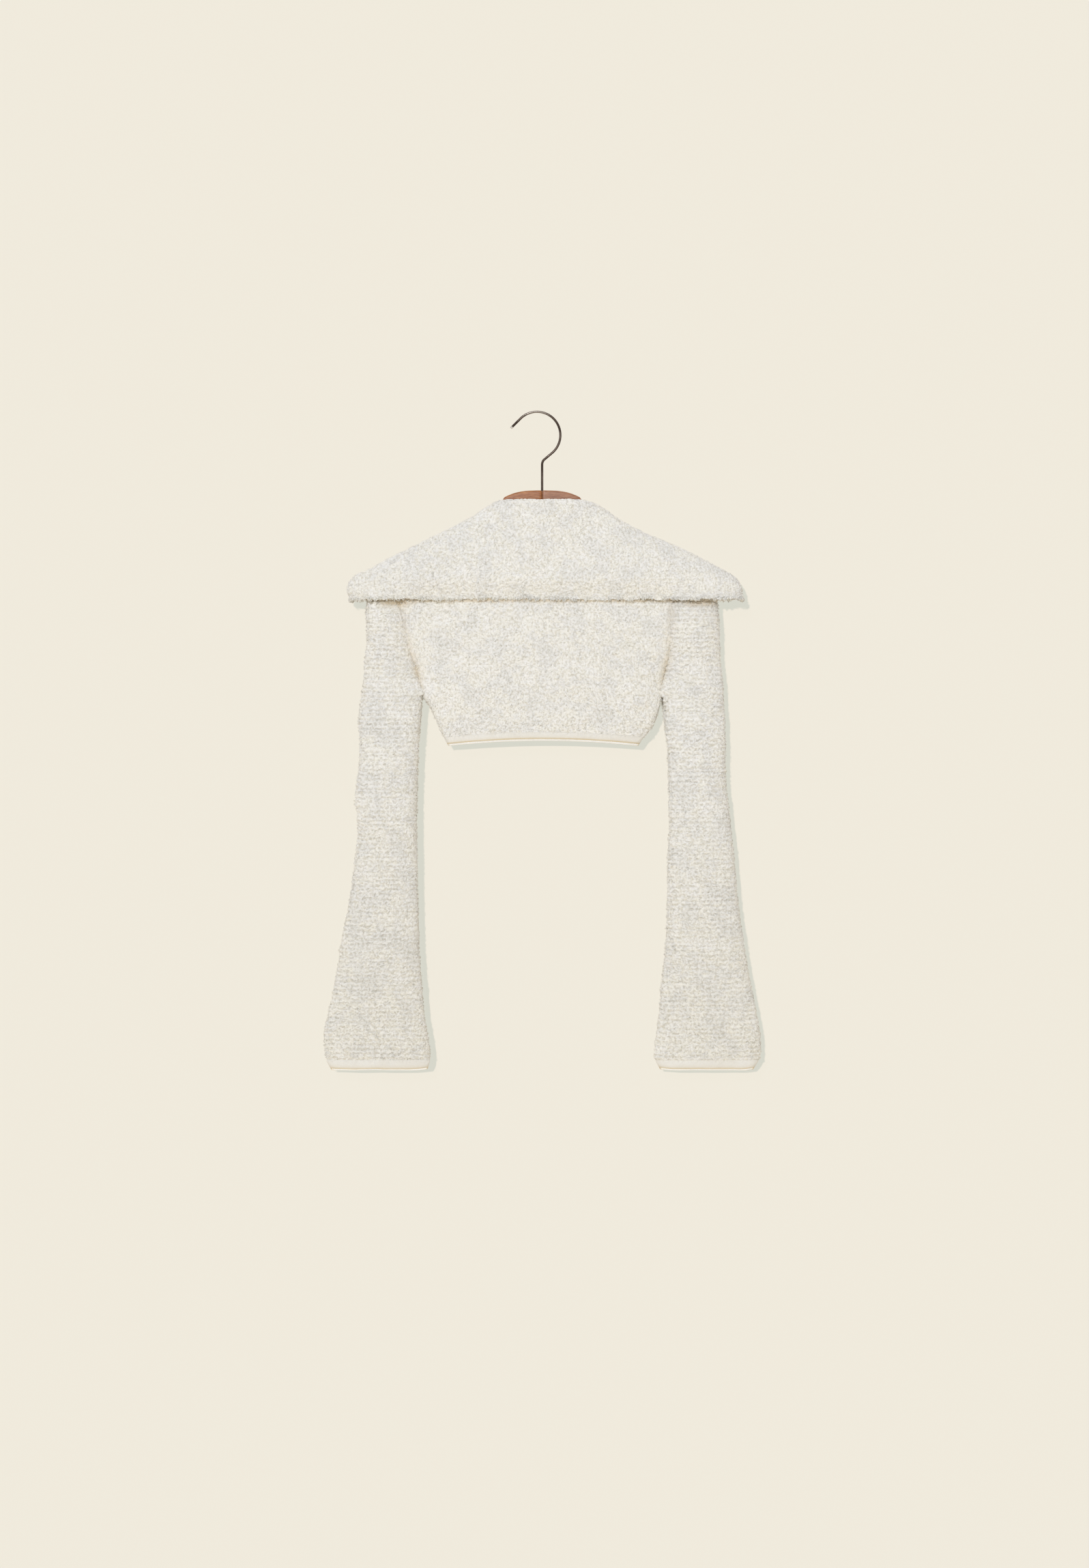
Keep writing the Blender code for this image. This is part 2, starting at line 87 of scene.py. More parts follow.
# The yarn
GRAIN = 4.0  # spacing of the grooves between curls of yarn
SLEEVE_ROW = 5.4  # height of one row of loops on the sleeves
SWING = 4.3  # half the length of one swing of such a row
LINK = 4.6  # height of one link of a rib
WALE = 4.2  # width of one upright rib in the right part of the collar
CURL_YARN = 0.42  # radius of the yarn in a curl
CURL_SIZE = (1.15, 1.25)  # half its width, and its height
CURL_DROOP = 0.35
CURL_BENDS = np.linspace(0, np.pi, 5)
YARN_SIDES = np.radians((0, 120, 240))
FRINGE_SIZE = (1.6, 2.6)
FRINGE_STEP = 1.7
CURL_STEP = {"front": 3.9, "back": 5.6, "sleeve": 4.3, "collar": 3.8}  # from curl to curl

# The hanger
WIRE = 2.9
HOOK_RADIUS = 27.4
HOOK_TIP_ANGLE = 135.0  # here the bend ends, and the wire runs straight on to its tip
TIP_STRAIGHT = 16.0
HOOK_LEAVES_ANGLE = -50.0
NECK_RADIUS = 8.5
SHANK_BOTTOM = 112.0
WOOD_EDGE = 3.2

# Tones
WAVE_TURN = 2 * math.pi / 20  # a wave texture at scale 1 repeats every 2 pi / 20
# Painted shade: the cloth darkens to this tone towards the cuffs.
LOWER_SHADE_TONE = "#fbfaf7"
# Painted shade in the seams and under the collar's edge.
SEAM_SHADE_TONE = "#e4d5bd"
# Painted shade at a binding's rolled lower edge.
BAND_EDGE_SHADE_TONE = "#e8d9ba"
TINTS = ((0.36, "#fdfcf8"), (0.46, "#fbf9f1"), (0.54, "#f8f7f3"), (0.64, "#f3f2ed"))

# The stage and its light
CAMERA_PLACE = (0.0088, -6.0, -0.4348)
VIEW_HEIGHT = 1.8376
WALL_Y = 0.038
FLOOR_Z = -1.6
PAPER_IN_SHADOW = "#d5d5c9"
PAPER = "#f0eadc"
FILL = 0.52
FILL_BEHIND = 1.3
KEY = 1.15
BOUNCE = 0.95
PAPER_SUN = (1.0, 0.757, 0.628)


def smooth_curve(xs, ys, at):
    """A curve through the points that never swings past them, read at the given places."""
    step = np.diff(xs)
    slope = np.diff(ys) / step
    before, after = slope[:-1], slope[1:]
    turning = before * after <= 0
    near, far = 2 * step[1:] + step[:-1], step[1:] + 2 * step[:-1]
    safe = np.where(turning, 1.0, before), np.where(turning, 1.0, after)
    inner = np.where(turning, 0.0, (near + far) / (near / safe[0] + far / safe[1]))
    tangent = np.concatenate([slope[:1], inner, slope[-1:]])
    k = np.clip(np.searchsorted(xs, at, side="right") - 1, 0, len(xs) - 2)
    t = np.clip((at - xs[k]) / step[k], 0, 1)
    rise = ys[k] * (1 + 2 * t) * (1 - t) ** 2 + ys[k + 1] * t * t * (3 - 2 * t)
    return rise + step[k] * (tangent[k] * t * (1 - t) ** 2 + tangent[k + 1] * t * t * (t - 1))


def smooth_step(start, end, at):
    t = np.clip((at - start) / (end - start), 0, 1)
    return t * t * (3 - 2 * t)


class Table:
    """Sizes down a piece. Each named column is a smooth curve of the first."""

    def __init__(self, columns, rows):
        self.columns = columns.split()
        self.rows = np.array(rows, float)

    def at(self, column, place):
        values = self.rows[:, self.columns.index(column)]
        return smooth_curve(self.rows[:, 0], values, np.asarray(place, float))


# Above the underarm the body's edges are the armhole seams, and "hole" is how far in
# front of and behind the hanger's plane they lie.
BODY = Table(
    "drop left right front back hole_left hole_right",
    (
        (117, -63, 66, 15.5, 15, 0, 0),
        (128, -83, 84.5, 16, 15.5, 0, 0),
        (140, -106, 108, 16.5, 16, 0, 0),
        (151, -129, 134, 17.5, 16.5, 0, 0),
        (163, -153, 161.5, 18.5, 17.5, 0, 0),
        (169, -164.5, 171, 19, 18, 0, 3),
        (175, -175, 169, 20, 18.5, 0, 9.5),
        (178, -178, 168, 20.5, 18.7, 3, 11.5),
        (183, -177, 166.5, 21, 19, 9.5, 12.5),
        (191, -175, 164, 22, 19.5, 13, 13.5),
        (210, -171, 158.5, 23, 20.5, 14.5, 14.5),
        (229.6, -166.8, 152.4, 24, 21, 15, 15),
        (255, -160.8, 150.8, 25, 22, 15, 15),
        (280, -154.8, 149.3, 25.5, 22, 13, 13),
        (300, -148.6, 145.2, 25.5, 22, 9, 9),
        (316, -143.6, 141.5, 25, 21.5, 4.5, 4.5),
        (330, -138.5, 139, 24, 21, 0, 0),
        (341, -131, 136.5, 23, 20, 0, 0),
        (352, -124.5, 133, 21.5, 19, 0, 0),
        (366, -118.5, 125, 19, 17, 0, 0),
        (374, -114.5, 118.5, 17.5, 16, 0, 0),
        (384, -110, 112.5, 16.5, 15, 0, 0),
    ),
)

SLEEVE_COLUMNS = "drop inner outer depth"
SLEEVE_LEFT = Table(
    SLEEVE_COLUMNS,
    (
        (178.5, -178, -182.5, 0),
        (182, -177.3, -190.5, 3),
        (187, -176, -195.5, 6),
        (195, -174.5, -198.2, 8),
        (212, -170.6, -199.8, 10),
        (236, -165.4, -202.4, 12),
        (276, -155.8, -203.6, 15),
        (316, -144, -206, 17),
        (330, -141.6, -207, 17.5),
        (345, -142.6, -208, 18),
        (356, -143.4, -208.6, 18.5),
        (396, -146.4, -209.4, 20),
        (436, -147.8, -211.6, 20.5),
        (476, -148.4, -214.2, 20),
        (516, -148, -218.4, 19),
        (556, -147.2, -222.2, 18.5),
        (596, -146.4, -229, 18),
        (636, -145, -235.4, 17),
        (676, -142, -242.2, 16),
        (705, -139.4, -248.2, 15),
        (736, -134.4, -252.6, 14),
        (757.6, -132, -252.6, 13),
        (768.4, -134, -247.6, 12),
    ),
)
SLEEVE_RIGHT = Table(
    SLEEVE_COLUMNS,
    (
        (170.5, 170.8, 175.5, 0),
        (174, 169.6, 183.5, 3),
        (180, 167.7, 194, 6),
        (188, 165.2, 200, 8),
        (200, 161.5, 202.6, 9),
        (220, 155.4, 204.4, 11),
        (236, 152.2, 204.8, 13),
        (276, 149.8, 206.8, 16),
        (316, 141.9, 210, 17.5),
        (330, 142.4, 210.6, 18),
        (345, 144.6, 211.2, 18.5),
        (364, 146.8, 211.8, 19.5),
        (396, 150, 212.4, 20.5),
        (436, 151.6, 214.8, 21),
        (476, 152.2, 218, 20),
        (516, 150.8, 221.6, 19.5),
        (556, 150, 226, 19),
        (596, 149.2, 230.8, 18),
        (636, 146.8, 236.6, 17),
        (676, 142, 243.4, 16),
        (705, 139.6, 248.4, 15),
        (736, 135.6, 253.4, 14),
        (757.6, 133.8, 253.4, 13),
        (768.4, 138, 248, 12),
    ),
)

COLLAR = Table(
    "drop left right front back",
    (
        (102.4, -51.5, 52, 19.5, 19),
        (107.2, -58, 62, 20.5, 20),
        (116, -71, 76, 22, 21),
        (128, -92, 93.5, 23, 22),
        (140, -115, 117, 24.5, 23),
        (151, -138, 143, 25.5, 24),
        (163, -162, 170.5, 27.5, 25.5),
        (175.6, -187, 194.5, 29.5, 27),
        (186, -206, 214, 31, 28.5),
        (192, -219, 224.4, 32, 29),
        (200, -225.5, 230.8, 33, 30),
        (208, -227.6, 233.6, 34, 30.5),
        (219, -224.6, 234.6, 35, 31),
    ),
)

# The hanger half: distance from the glue line, the drops of its upper and lower edge, and
# half its thickness.
ARM = Table(
    "out top bottom half",
    (
        (0, 90.8, 126, 5.5),
        (16, 91.2, 126.5, 5.5),
        (28, 92.8, 128, 5.5),
        (38, 96, 131, 5.5),
        (46, 100.3, 135, 5.5),
        (50.5, 109.6, 137, 5.5),
        (58, 119, 141, 5.5),
        (75, 130.4, 149.5, 5.5),
        (104, 145.6, 163, 5.5),
        (130, 158.4, 175, 5.5),
        (155, 172.4, 187.6, 5.2),
        (176, 183.4, 199, 4.7),
        (186, 190, 202.6, 3.6),
        (190, 194, 200.4, 2),
    ),
)

# Creases in a half of the garment, from one point to another: x and drop of both ends, how
# far the middle bows out sideways, half the width, and the height (a trough is negative).
CREASES_FRONT = (
    (-150, 306, -78, 262, 5, 5, -1.8),
    (-146, 318, -96, 300, -3, 3.6, 1.4),
    (-138, 338, -84, 348, 3, 5, -1.3),
    (147, 300, 84, 256, -6, 5.5, -1.9),
    (143, 314, 98, 302, 3, 4, 1.5),
    (138, 334, 92, 352, -3, 5, -1.2),
    (-96, 222, -70, 330, 8, 9, 1.6),
    (-28, 262, -12, 392, -7, 16, -2.4),
    (34, 246, 26, 392, 6, 13, 1.5),
    (72, 224, 80, 372, -7, 11, -1.8),
)
CREASES_BACK = (
    (-148, 304, -70, 270, 5, 5.5, -1.7),
    (145, 302, 90, 262, -5, 5, -1.8),
    (-62, 236, -50, 388, 7, 13, 1.8),
    (8, 244, 20, 392, -6, 17, -2.2),
    (78, 226, 70, 366, 5, 10, 1.5),
)
CREASES_COLLAR = (
    (-30, 112, -120, 200, 9, 12, -1.5),
    (-4, 120, -28, 228, 6, 18, 1.3),
    (36, 110, 128, 204, -8, 12, -1.4),
    (70, 136, 96, 226, 5, 12, 1.2),
)

SURFACES = {}


# ------------------------------------------------------------------ numbers with no order


def scatter(i, j, seed):
    """A repeatable random number from 0 to 1 for each cell of a grid."""
    n = np.sin(i * 127.1 + j * 311.7 + seed * 74.7) * 43758.5453
    return n - np.floor(n)


def drift(u, v, size, seed):
    """Soft random hills and hollows from -1 to 1, each about size across."""
    x, y = u / size, v / size
    i, j = np.floor(x), np.floor(y)
    a, b = x - i, y - j
    a, b = a * a * (3 - 2 * a), b * b * (3 - 2 * b)
    top = scatter(i, j, seed) * (1 - a) + scatter(i + 1, j, seed) * a
    bottom = scatter(i, j + 1, seed) * (1 - a) + scatter(i + 1, j + 1, seed) * a
    return 2 * (top * (1 - b) + bottom * b) - 1


def grooves(height, width):
    """1 on the yarn, falling to 0 in thin crooked lines where the height crosses 0."""
    return np.minimum(1, np.abs(height) / width) ** 0.7


# ------------------------------------------------------------------ cloth forms


def stations(*stretches):
    """Places along the cloth, in numbers that the inner face can skip evenly."""
    places = [stretches[0][0]]
    for start, end, spacing in stretches:
        steps = LINING_STEPS * max(1, round(abs(end - start) / spacing / LINING_STEPS))
        places.extend(np.linspace(start, end, steps + 1)[1:])
    return np.array(places)


def creased(grid, creases):
    """Soft uneven troughs and ridges, deepest in their middle."""
    x, drop = grid[..., 0], -grid[..., 2]
    for x0, drop0, x1, drop1, bow, half_width, height in creases:
        length = math.hypot(x1 - x0, drop1 - drop0)
        way = ((x1 - x0) / length, (drop1 - drop0) / length)
        along = ((x - x0) * way[0] + (drop - drop0) * way[1]) / length
        fade = np.clip(1 - (2 * along - 1) ** 2, 0, 1)
        aside = (x - x0) * way[1] - (drop - drop0) * way[0] + bow * fade
        grid[..., 1] += height * np.exp(-((aside / half_width) ** 2)) * fade
    return grid


def half_tube(table, drops, side, hole=(None, None), dense=240):
    """The front or back half of a flat tube, in rows from its left edge to its right."""
    s = np.linspace(0, 1, dense + 1)[None, :]
    drop = np.asarray(drops, float)[:, None]
    left, right = table.at("left", drop), table.at("right", drop)
    depth = table.at(side, drop)
    holes = [table.at(name, drop) if name else 0 * drop for name in hole]
    openness = np.clip(np.maximum(*holes) / ARMHOLE_DEPTH, 0, 1)
    g = (1 - openness) * (1 - np.cos(np.pi * s)) / 2 + openness * s
    edge = holes[0] * (1 - g) + holes[1] * g
    swell = np.clip(np.sin(np.pi * s), 0, 1) ** (0.45 + 0.4 * openness)
    y = np.maximum(edge + (depth - edge) * swell, SEAM_GAP / 2)
    return np.stack([left + (right - left) * g, y, -drop + 0 * g], axis=2), g


def sleeve_tube(table, drops, side, dense=120):
    """A sleeve: its columns run from the seam round the front to the fold and back behind."""
    there = np.linspace(0, 1, dense + 1)
    s = np.concatenate([there, np.linspace(1, 0, dense + 1)[1:]])[None, :]
    face = np.sign(np.arange(2 * dense + 1) - dense)[None, :]
    drop = np.asarray(drops, float)[:, None]
    edge, hole = ("left", "hole_left") if side < 0 else ("right", "hole_right")
    at_seam = np.where(drop < UNDERARM, BODY.at(hole, drop), 0)
    openness = np.clip(at_seam / ARMHOLE_DEPTH, 0, 1)
    seam = BODY.at(edge, drop) + side * ARMHOLE_GAP
    inner = np.where(drop < UNDERARM, seam, table.at("inner", drop))
    outer = table.at("outer", drop)
    g = (1 - openness) * (1 - np.cos(np.pi * s)) / 2 + openness * np.sin(np.pi * s / 2)
    round_end = np.clip(np.sin(np.pi * s), 0, 1)
    depth = table.at("depth", drop)
    closed = depth * round_end**0.5
    opened = at_seam * np.cos(np.pi * s / 2) ** 0.8 + 0.45 * depth * round_end
    y = (1 - openness) * closed + openness * opened
    return np.stack([inner + (outer - inner) * g, face * y, -drop + 0 * g], axis=2)


def distance_along(grid):
    """How far each point of a row lies from the row's first, along the cloth."""
    step = np.linalg.norm(np.diff(grid, axis=1), axis=2)
    return np.concatenate([np.zeros((len(grid), 1)), np.cumsum(step, axis=1)], axis=1)


def even_columns(grid, spacing):
    """The same rows, with their points evenly spaced along the cloth."""
    along = distance_along(grid)
    usual = along[len(grid) // 3 :, -1].mean()
    count = LINING_STEPS * round(usual / spacing / LINING_STEPS) + 1
    share = np.linspace(0, 1, count)
    even = np.empty((len(grid), count, 3))
    for row, distance, out in zip(grid, along, even):
        for axis in range(3):
            out[:, axis] = np.interp(share * distance[-1], distance, row[:, axis])
    return even


def unit(vectors):
    return vectors / np.maximum(np.linalg.norm(vectors, axis=-1, keepdims=True), 1e-9)


class Cloth:
    """A sheet of cloth as a grid of points, with places across (u) and down (v) it."""

    def __init__(self, grid, outwards):
        normal = self.normals_of(grid)
        if (normal * outwards(grid)).sum() < 0:
            grid = grid[:, ::-1]
            normal = self.normals_of(grid)
        self.form, self.normal = grid, normal
        along = distance_along(grid)
        self.girth = along[:, -1]
        self.u = along - self.girth[:, None] / 2
        middle = grid[:, grid.shape[1] // 2]
        down = np.concatenate([[0], np.cumsum(np.linalg.norm(np.diff(middle, axis=0), axis=1))])
        self.length = down[-1]
        self.v = np.repeat(down[:, None], grid.shape[1], axis=1)
        self.from_edge = self.girth[:, None] / 2 - np.abs(self.u)
        self.face = grid
        self.loft = np.full(self.u.shape, 0.5)
        self.painted_shade = np.zeros(self.u.shape)

    @staticmethod
    def normals_of(grid):
        return unit(np.cross(np.gradient(grid, axis=1), np.gradient(grid, axis=0)))

    @property
    def drop(self):
        return -self.form[..., 2]

    def raise_face(self, relief, loft):
        """Lifts the outer face by the relief. Loft is 0 deep between loops and 1 on them."""
        self.face = self.form + self.normal * relief[..., None]
        self.loft = loft


def forwards(grid):
    return np.array((0.0, -1.0, 0.0))


def backwards(grid):
    return np.array((0.0, 1.0, 0.0))


def away_from_middle(grid):
    return grid - grid.mean(axis=1, keepdims=True)


def facing(side):
    """The way that a front or a back half faces, along Y."""
    return -1 if side == "front" else 1


# ------------------------------------------------------------------ the yarn's relief


def granular(cloth, seed):
    """Boucle with little direction: crooked grooves between curls of yarn, on soft lumps."""
    u = cloth.u + 1.3 * drift(cloth.u, cloth.v, 6.0, seed)
    v = cloth.v + 1.3 * drift(cloth.u, cloth.v, 6.0, seed + 5)
    yarn = grooves(drift(u, v, GRAIN, seed + 1) + 0.4 * drift(u, v, GRAIN / 2, seed + 2), 0.4)
    large = drift(u, v, 7.5, seed + 9)
    return 0.9 * yarn + 0.7 * large, yarn


def in_rows(cloth, seed):
    """Boucle in crooked rows across a sleeve, which swing up and down as the yarn curls."""
    u, v = cloth.u, cloth.v
    swing = 1.7 * drift(u, 0.45 * v, SWING, seed) + 2.6 * drift(u, v, 24.0, seed + 1)
    row = np.abs(np.sin(np.pi * (v + swing) / SLEEVE_ROW)) ** 0.6
    open_groove = 0.35 + 0.65 * smooth_step(-0.6, 0.2, drift(u, v, 7.0, seed + 6))
    row = 1 - (1 - row) * open_groove
    yarn = grooves(drift(u, 1.2 * v, GRAIN, seed + 2), 0.4)
    large = drift(u, v, 9.0, seed + 9)
    return 1.25 * row + 0.4 * yarn + 0.45 * large, 0.7 * row + 0.3 * yarn


def knit_collar(cloth, seed):
    """Granular boucle that shows its upright ribs and their links towards the right."""
    relief, loft = granular(cloth, seed)
    to_right = smooth_step(25, 110, cloth.form[..., 0])
    ribbed = 0.8 * to_right * smooth_step(132, 160, cloth.drop)
    across = (cloth.u + 1.1 * drift(cloth.u, cloth.v, 22.0, seed + 2)) / WALE
    slant = 1.6 * np.abs(2 * (across - np.floor(across)) - 1)
    link = np.abs(np.sin(np.pi * (cloth.v + slant) / LINK)) ** 0.6
    links = np.abs(np.sin(np.pi * across)) ** 0.7 * (0.5 + 0.5 * link)
    relief = relief * (1 - ribbed) + ribbed * links
    return relief, loft * (1 - ribbed) + ribbed * links


def at_sewn_edges(cloth, relief, sides):
    """The relief dies away at sewn side edges, which lie a little deeper than the cloth,
    and above the band, where the cloth swells instead."""
    near = smooth_step(0.0, 3.5, cloth.from_edge)
    sunk = 0.5 * sides * (1 - smooth_step(0, 6, cloth.from_edge))
    relief = relief * (1 - 0.7 * sides * (1 - near)) - sunk
    clear = smooth_step(0.0, SEWN_EDGE, cloth.length - cloth.v)
    relief = relief * clear + BAND_SWELL * (1 - clear)
    return relief * smooth_step(*HIDDEN_LINE, cloth.drop)


def shaded_seam(cloth, strength):
    """How much painted shade lies in a sewn seam: 1 in it and 0 a few millimetres away from it."""
    strength = strength * (0.25 + 0.5 * smooth_step(262, UNDERARM - 14, cloth.drop))
    return strength * np.exp(-((cloth.from_edge / 7.0) ** 2))


def under_the_edge(cloth):
    """Painted shade: 1 under the collar's lower edge and 0 below the drop that it shades."""
    reach = COLLAR_SHADES
    uneven = 1.2 * drift(cloth.u, cloth.v, 3.0, 71)
    line = 0.75 * (1 - smooth_step(reach - 3.5 + uneven, reach + 0.5 + uneven, cloth.drop))
    # Where the sleeves begin the shade is broader.
    across = np.abs(cloth.form[..., 0] - CENTRE_X)
    broad = smooth_step(150, 170, across) * smooth_step(202, 188, across)
    broad = 0.85 * broad * (1 - smooth_step(reach - 2.0, reach + 7.0, cloth.drop))
    return np.maximum(line, broad)


# ------------------------------------------------------------------ meshes


def to_metres(points):
    return (points + np.array((CENTRE_X, 0, 0))) * MM


def new_object(name, verts, faces, finish):
    mesh = bpy.data.meshes.new(name)
    mesh.from_pydata(to_metres(verts).tolist(), [], faces)
    mesh.materials.append(finish)
    mesh.shade_smooth()
    made = bpy.data.objects.new(name, mesh)
    bpy.context.collection.objects.link(made)
    return made


def rim(outer, inner):
    """Triangles from a border of the face to the coarser border of the lining."""
    half = LINING_STEPS // 2
    faces = []
    for i in range(len(inner) - 1):
        fine = outer[i * LINING_STEPS : (i + 1) * LINING_STEPS + 1]
        for k in range(LINING_STEPS):
            faces.append((fine[k + 1], fine[k], inner[i] if k < half else inner[i + 1]))
        faces.append((fine[half], inner[i], inner[i + 1]))
    return faces


def quads(first, rows, columns, flip):
    row, column = np.arange(rows - 1)[:, None], np.arange(columns - 1)[None, :]
    a = first + (row * columns + column).ravel()
    corners = (a, a + 1, a + columns + 1, a + columns)
    return np.stack(corners[::-1] if flip else corners, axis=1).tolist()


def shell(name, cloth, wall, finish, keep_side=None):
    """Cloth of some thickness: the face, a coarser lining behind it and the four rims."""
    rows, columns = cloth.u.shape
    skip = slice(None, None, LINING_STEPS)
    lining = (cloth.form - cloth.normal * wall)[skip, skip].copy()
    if keep_side is not None:
        # The lining of a half stays on its own side of the hanger's plane.
        lining[..., 1] = keep_side * np.maximum(keep_side * lining[..., 1], SEAM_GAP / 2)
    few_rows, few = lining.shape[:2]
    count = rows * columns
    verts = np.concatenate([cloth.face.reshape(-1, 3), lining.reshape(-1, 3)])
    faces = quads(0, rows, columns, False) + quads(count, few_rows, few, True)
    fine = np.arange(count).reshape(rows, columns)
    coarse = count + np.arange(few_rows * few).reshape(few_rows, few)
    borders = (
        (fine[0], coarse[0]),
        (fine[:, -1], coarse[:, -1]),
        (fine[-1, ::-1], coarse[-1, ::-1]),
        (fine[::-1, 0], coarse[::-1, 0]),
    )
    border = np.zeros(len(verts), int)
    for outer, inner in borders:
        faces += rim(outer.tolist(), inner.tolist())
        border[outer], border[inner] = 1, 2
    made = new_object(name, verts, faces, finish)
    mesh = made.data
    ends = np.empty(2 * len(mesh.edges), int)
    mesh.edges.foreach_get("vertices", ends)
    ends = border[ends.reshape(-1, 2)]
    hard = (ends[:, 0] > 0) & (ends[:, 0] == ends[:, 1])
    mesh.attributes.new("sharp_edge", "BOOLEAN", "EDGE").data.foreach_set("value", hard)
    for label, values, lining_value in (
        ("loft", cloth.loft, 0.5),
        ("painted_shade", cloth.painted_shade, 0.0),
        ("inside", np.zeros(cloth.u.shape), 1.0),
    ):
        values = np.concatenate([values.ravel(), np.full(few_rows * few, lining_value)])
        mesh.attributes.new(label, "FLOAT", "POINT").data.foreach_set("value", values)
    across = np.concatenate([cloth.u.ravel(), cloth.u[skip, skip].ravel()])
    down = np.concatenate([cloth.v.ravel(), cloth.v[skip, skip].ravel()])
    corner = np.empty(len(mesh.loops), int)
    mesh.loops.foreach_get("vertex_index", corner)
    places = np.stack([across, down], axis=1)[corner] * MM
    mesh.uv_layers.new(name="knit").data.foreach_set("uv", places.ravel())
    return made


def between(grid, row, column):
    """The grid's values at places that lie between its points."""
    i = np.clip(np.floor(row).astype(int), 0, grid.shape[0] - 2)
    j = np.clip(np.floor(column).astype(int), 0, grid.shape[1] - 2)
    a, b = (row - i)[:, None], (column - j)[:, None]
    top = grid[i, j] * (1 - b) + grid[i, j + 1] * b
    bottom = grid[i + 1, j] * (1 - b) + grid[i + 1, j + 1] * b
    return top * (1 - a) + bottom * a


def curl_places(cloth, spacing, wanted, draws):
    """Uneven places for curls, in lines across the cloth."""
    down = cloth.v[:, 0]
    rows, columns = [], []
    for line in np.arange(spacing / 2, cloth.length, spacing):
        row = np.interp(line, down, np.arange(len(down)))
        count = max(1, int(np.interp(line, down, cloth.girth) / spacing))
        share = (np.arange(count) + draws.uniform(0, 1, count)) / count
        step = np.interp(line + spacing, down, np.arange(len(down))) - row
        rows.append(row + draws.uniform(-0.5, 0.5, count) * max(step, 0.1))
        columns.append(share * (cloth.u.shape[1] - 1))
    row = np.clip(np.concatenate(rows), 0, len(down) - 1.001)
    column = np.concatenate(columns)
    likely = wanted(between(cloth.form, row, column), between(cloth.normal, row, column))
    kept = draws.uniform(0, 1, len(row)) < likely
    return row[kept], column[kept]


def curls(points, normals, sizes, draws):
    """Small arches of yarn, all in one mesh: a three-sided tube bent over four steps."""
    count = len(points)
    turn = draws.uniform(0, 2 * np.pi, count)
    flat = unit(np.cross(normals, np.array((0.31, 0.17, 0.94))))
    other = np.cross(normals, flat)
    way = flat * np.cos(turn)[:, None] + other * np.sin(turn)[:, None]
    aside = np.cross(normals, way)
    lean = draws.uniform(-0.6, 0.6, count)[:, None] * aside
    lean[:, 2] -= CURL_DROOP * draws.uniform(0.3, 1.0, count)
    wide, high = sizes
    wide = wide * draws.uniform(0.75, 1.3, count)
    high = high * draws.uniform(0.7, 1.35, count)
    yarn = CURL_YARN * draws.uniform(0.8, 1.25, count)
    bend = CURL_BENDS[None, :, None]
    middle = points[:, None] + way[:, None] * np.cos(bend) * wide[:, None, None]
    rise = np.sin(bend) * high[:, None, None]
    middle = middle + normals[:, None] * (rise - 0.5) + lean[:, None] * rise
    heading = unit(np.gradient(middle, axis=1))
    aside = aside[:, None]
    first = unit(aside - heading * (aside * heading).sum(axis=2, keepdims=True))
    second = np.cross(heading, first)
    around = YARN_SIDES[None, None, :, None]
    ring = np.cos(around) * first[:, :, None] + np.sin(around) * second[:, :, None]
    verts = middle[:, :, None] + ring * yarn[:, None, None, None]
    sides, bends = len(YARN_SIDES), len(CURL_BENDS)
    pattern = []
    for k in range(0, (bends - 1) * sides, sides):
        for a in range(sides):
            b = (a + 1) % sides
            pattern.append((k + a, k + b, k + sides + b, k + sides + a))
    ends = ((2, 1, 0), tuple((bends - 1) * sides + a for a in range(sides)))
    starts = np.arange(count)[:, None, None] * sides * bends
    faces = (starts + np.array(pattern)).reshape(-1, 4).tolist()
    faces += (starts + np.array(ends)).reshape(-1, 3).tolist()
    return verts.reshape(-1, 3), faces


def pile(name, cloth, spacing, wanted, seed, extra=None):
    """A pile of curls on a cloth, with more of them at extra places if any are given."""
    draws = np.random.default_rng(seed)
    row, column = curl_places(cloth, spacing, wanted, draws)
    points, normals = between(cloth.face, row, column), unit(between(cloth.normal, row, column))
    verts, faces = curls(points, normals, CURL_SIZE, draws)
    if extra is not None:
        more, more_faces = curls(*extra, draws)
        faces += [tuple(len(verts) + i for i in face) for face in more_faces]
        verts = np.concatenate([verts, more])
    return new_object(name, verts, faces, SURFACES["curls"])


# ------------------------------------------------------------------ finishes


def linear(code):
    """A colour written as sRGB hex, in the linear values that the shaders take."""
    values = [int(code[i : i + 2], 16) / 255 for i in (1, 3, 5)]
    return (*(v / 12.92 if v <= 0.04045 else ((v + 0.055) / 1.055) ** 2.4 for v in values), 1.0)


def add(tree, kind, sockets=None, **settings):
    """Adds a node. Each of its sockets named here gets a value or another node's output."""
    node = tree.nodes.new(kind)
    for name, value in settings.items():
        setattr(node, name, value)
    for name, value in (sockets or {}).items():
        if isinstance(value, bpy.types.NodeSocket):
            tree.links.new(value, node.inputs[name])
        else:
            node.inputs[name].default_value = value
    return node


def ramp(tree, source, stops):
    """Colours at places from 0 to 1, and even tones between them."""
    node = add(tree, "ShaderNodeValToRGB", {"Fac": source})
    elements = node.color_ramp.elements
    while len(elements) < len(stops):
        elements.new(0.5)
    for element, (place, code) in zip(elements, stops):
        element.position = place
        element.color = linear(code)
    return node.outputs["Color"]


def blank(name, **constants):
    """A new material with its shader's constants set."""
    made = bpy.data.materials.new(name)
    made.use_nodes = True
    tree = made.node_tree
    shader = tree.nodes["Principled BSDF"]
    for socket, value in constants.items():
        shader.inputs[socket.replace("_", " ")].default_value = value
    return made, tree, shader


def per_mm(size):
    """Noise scale for features of this size in millimetres, on coordinates in metres."""
    return 1 / (size * MM)


def object_place(tree):
    return add(tree, "ShaderNodeTexCoord").outputs["Object"]


def knit_place(tree):
    """Across and down the cloth."""
    return add(tree, "ShaderNodeUVMap", uv_map="knit").outputs["UV"]


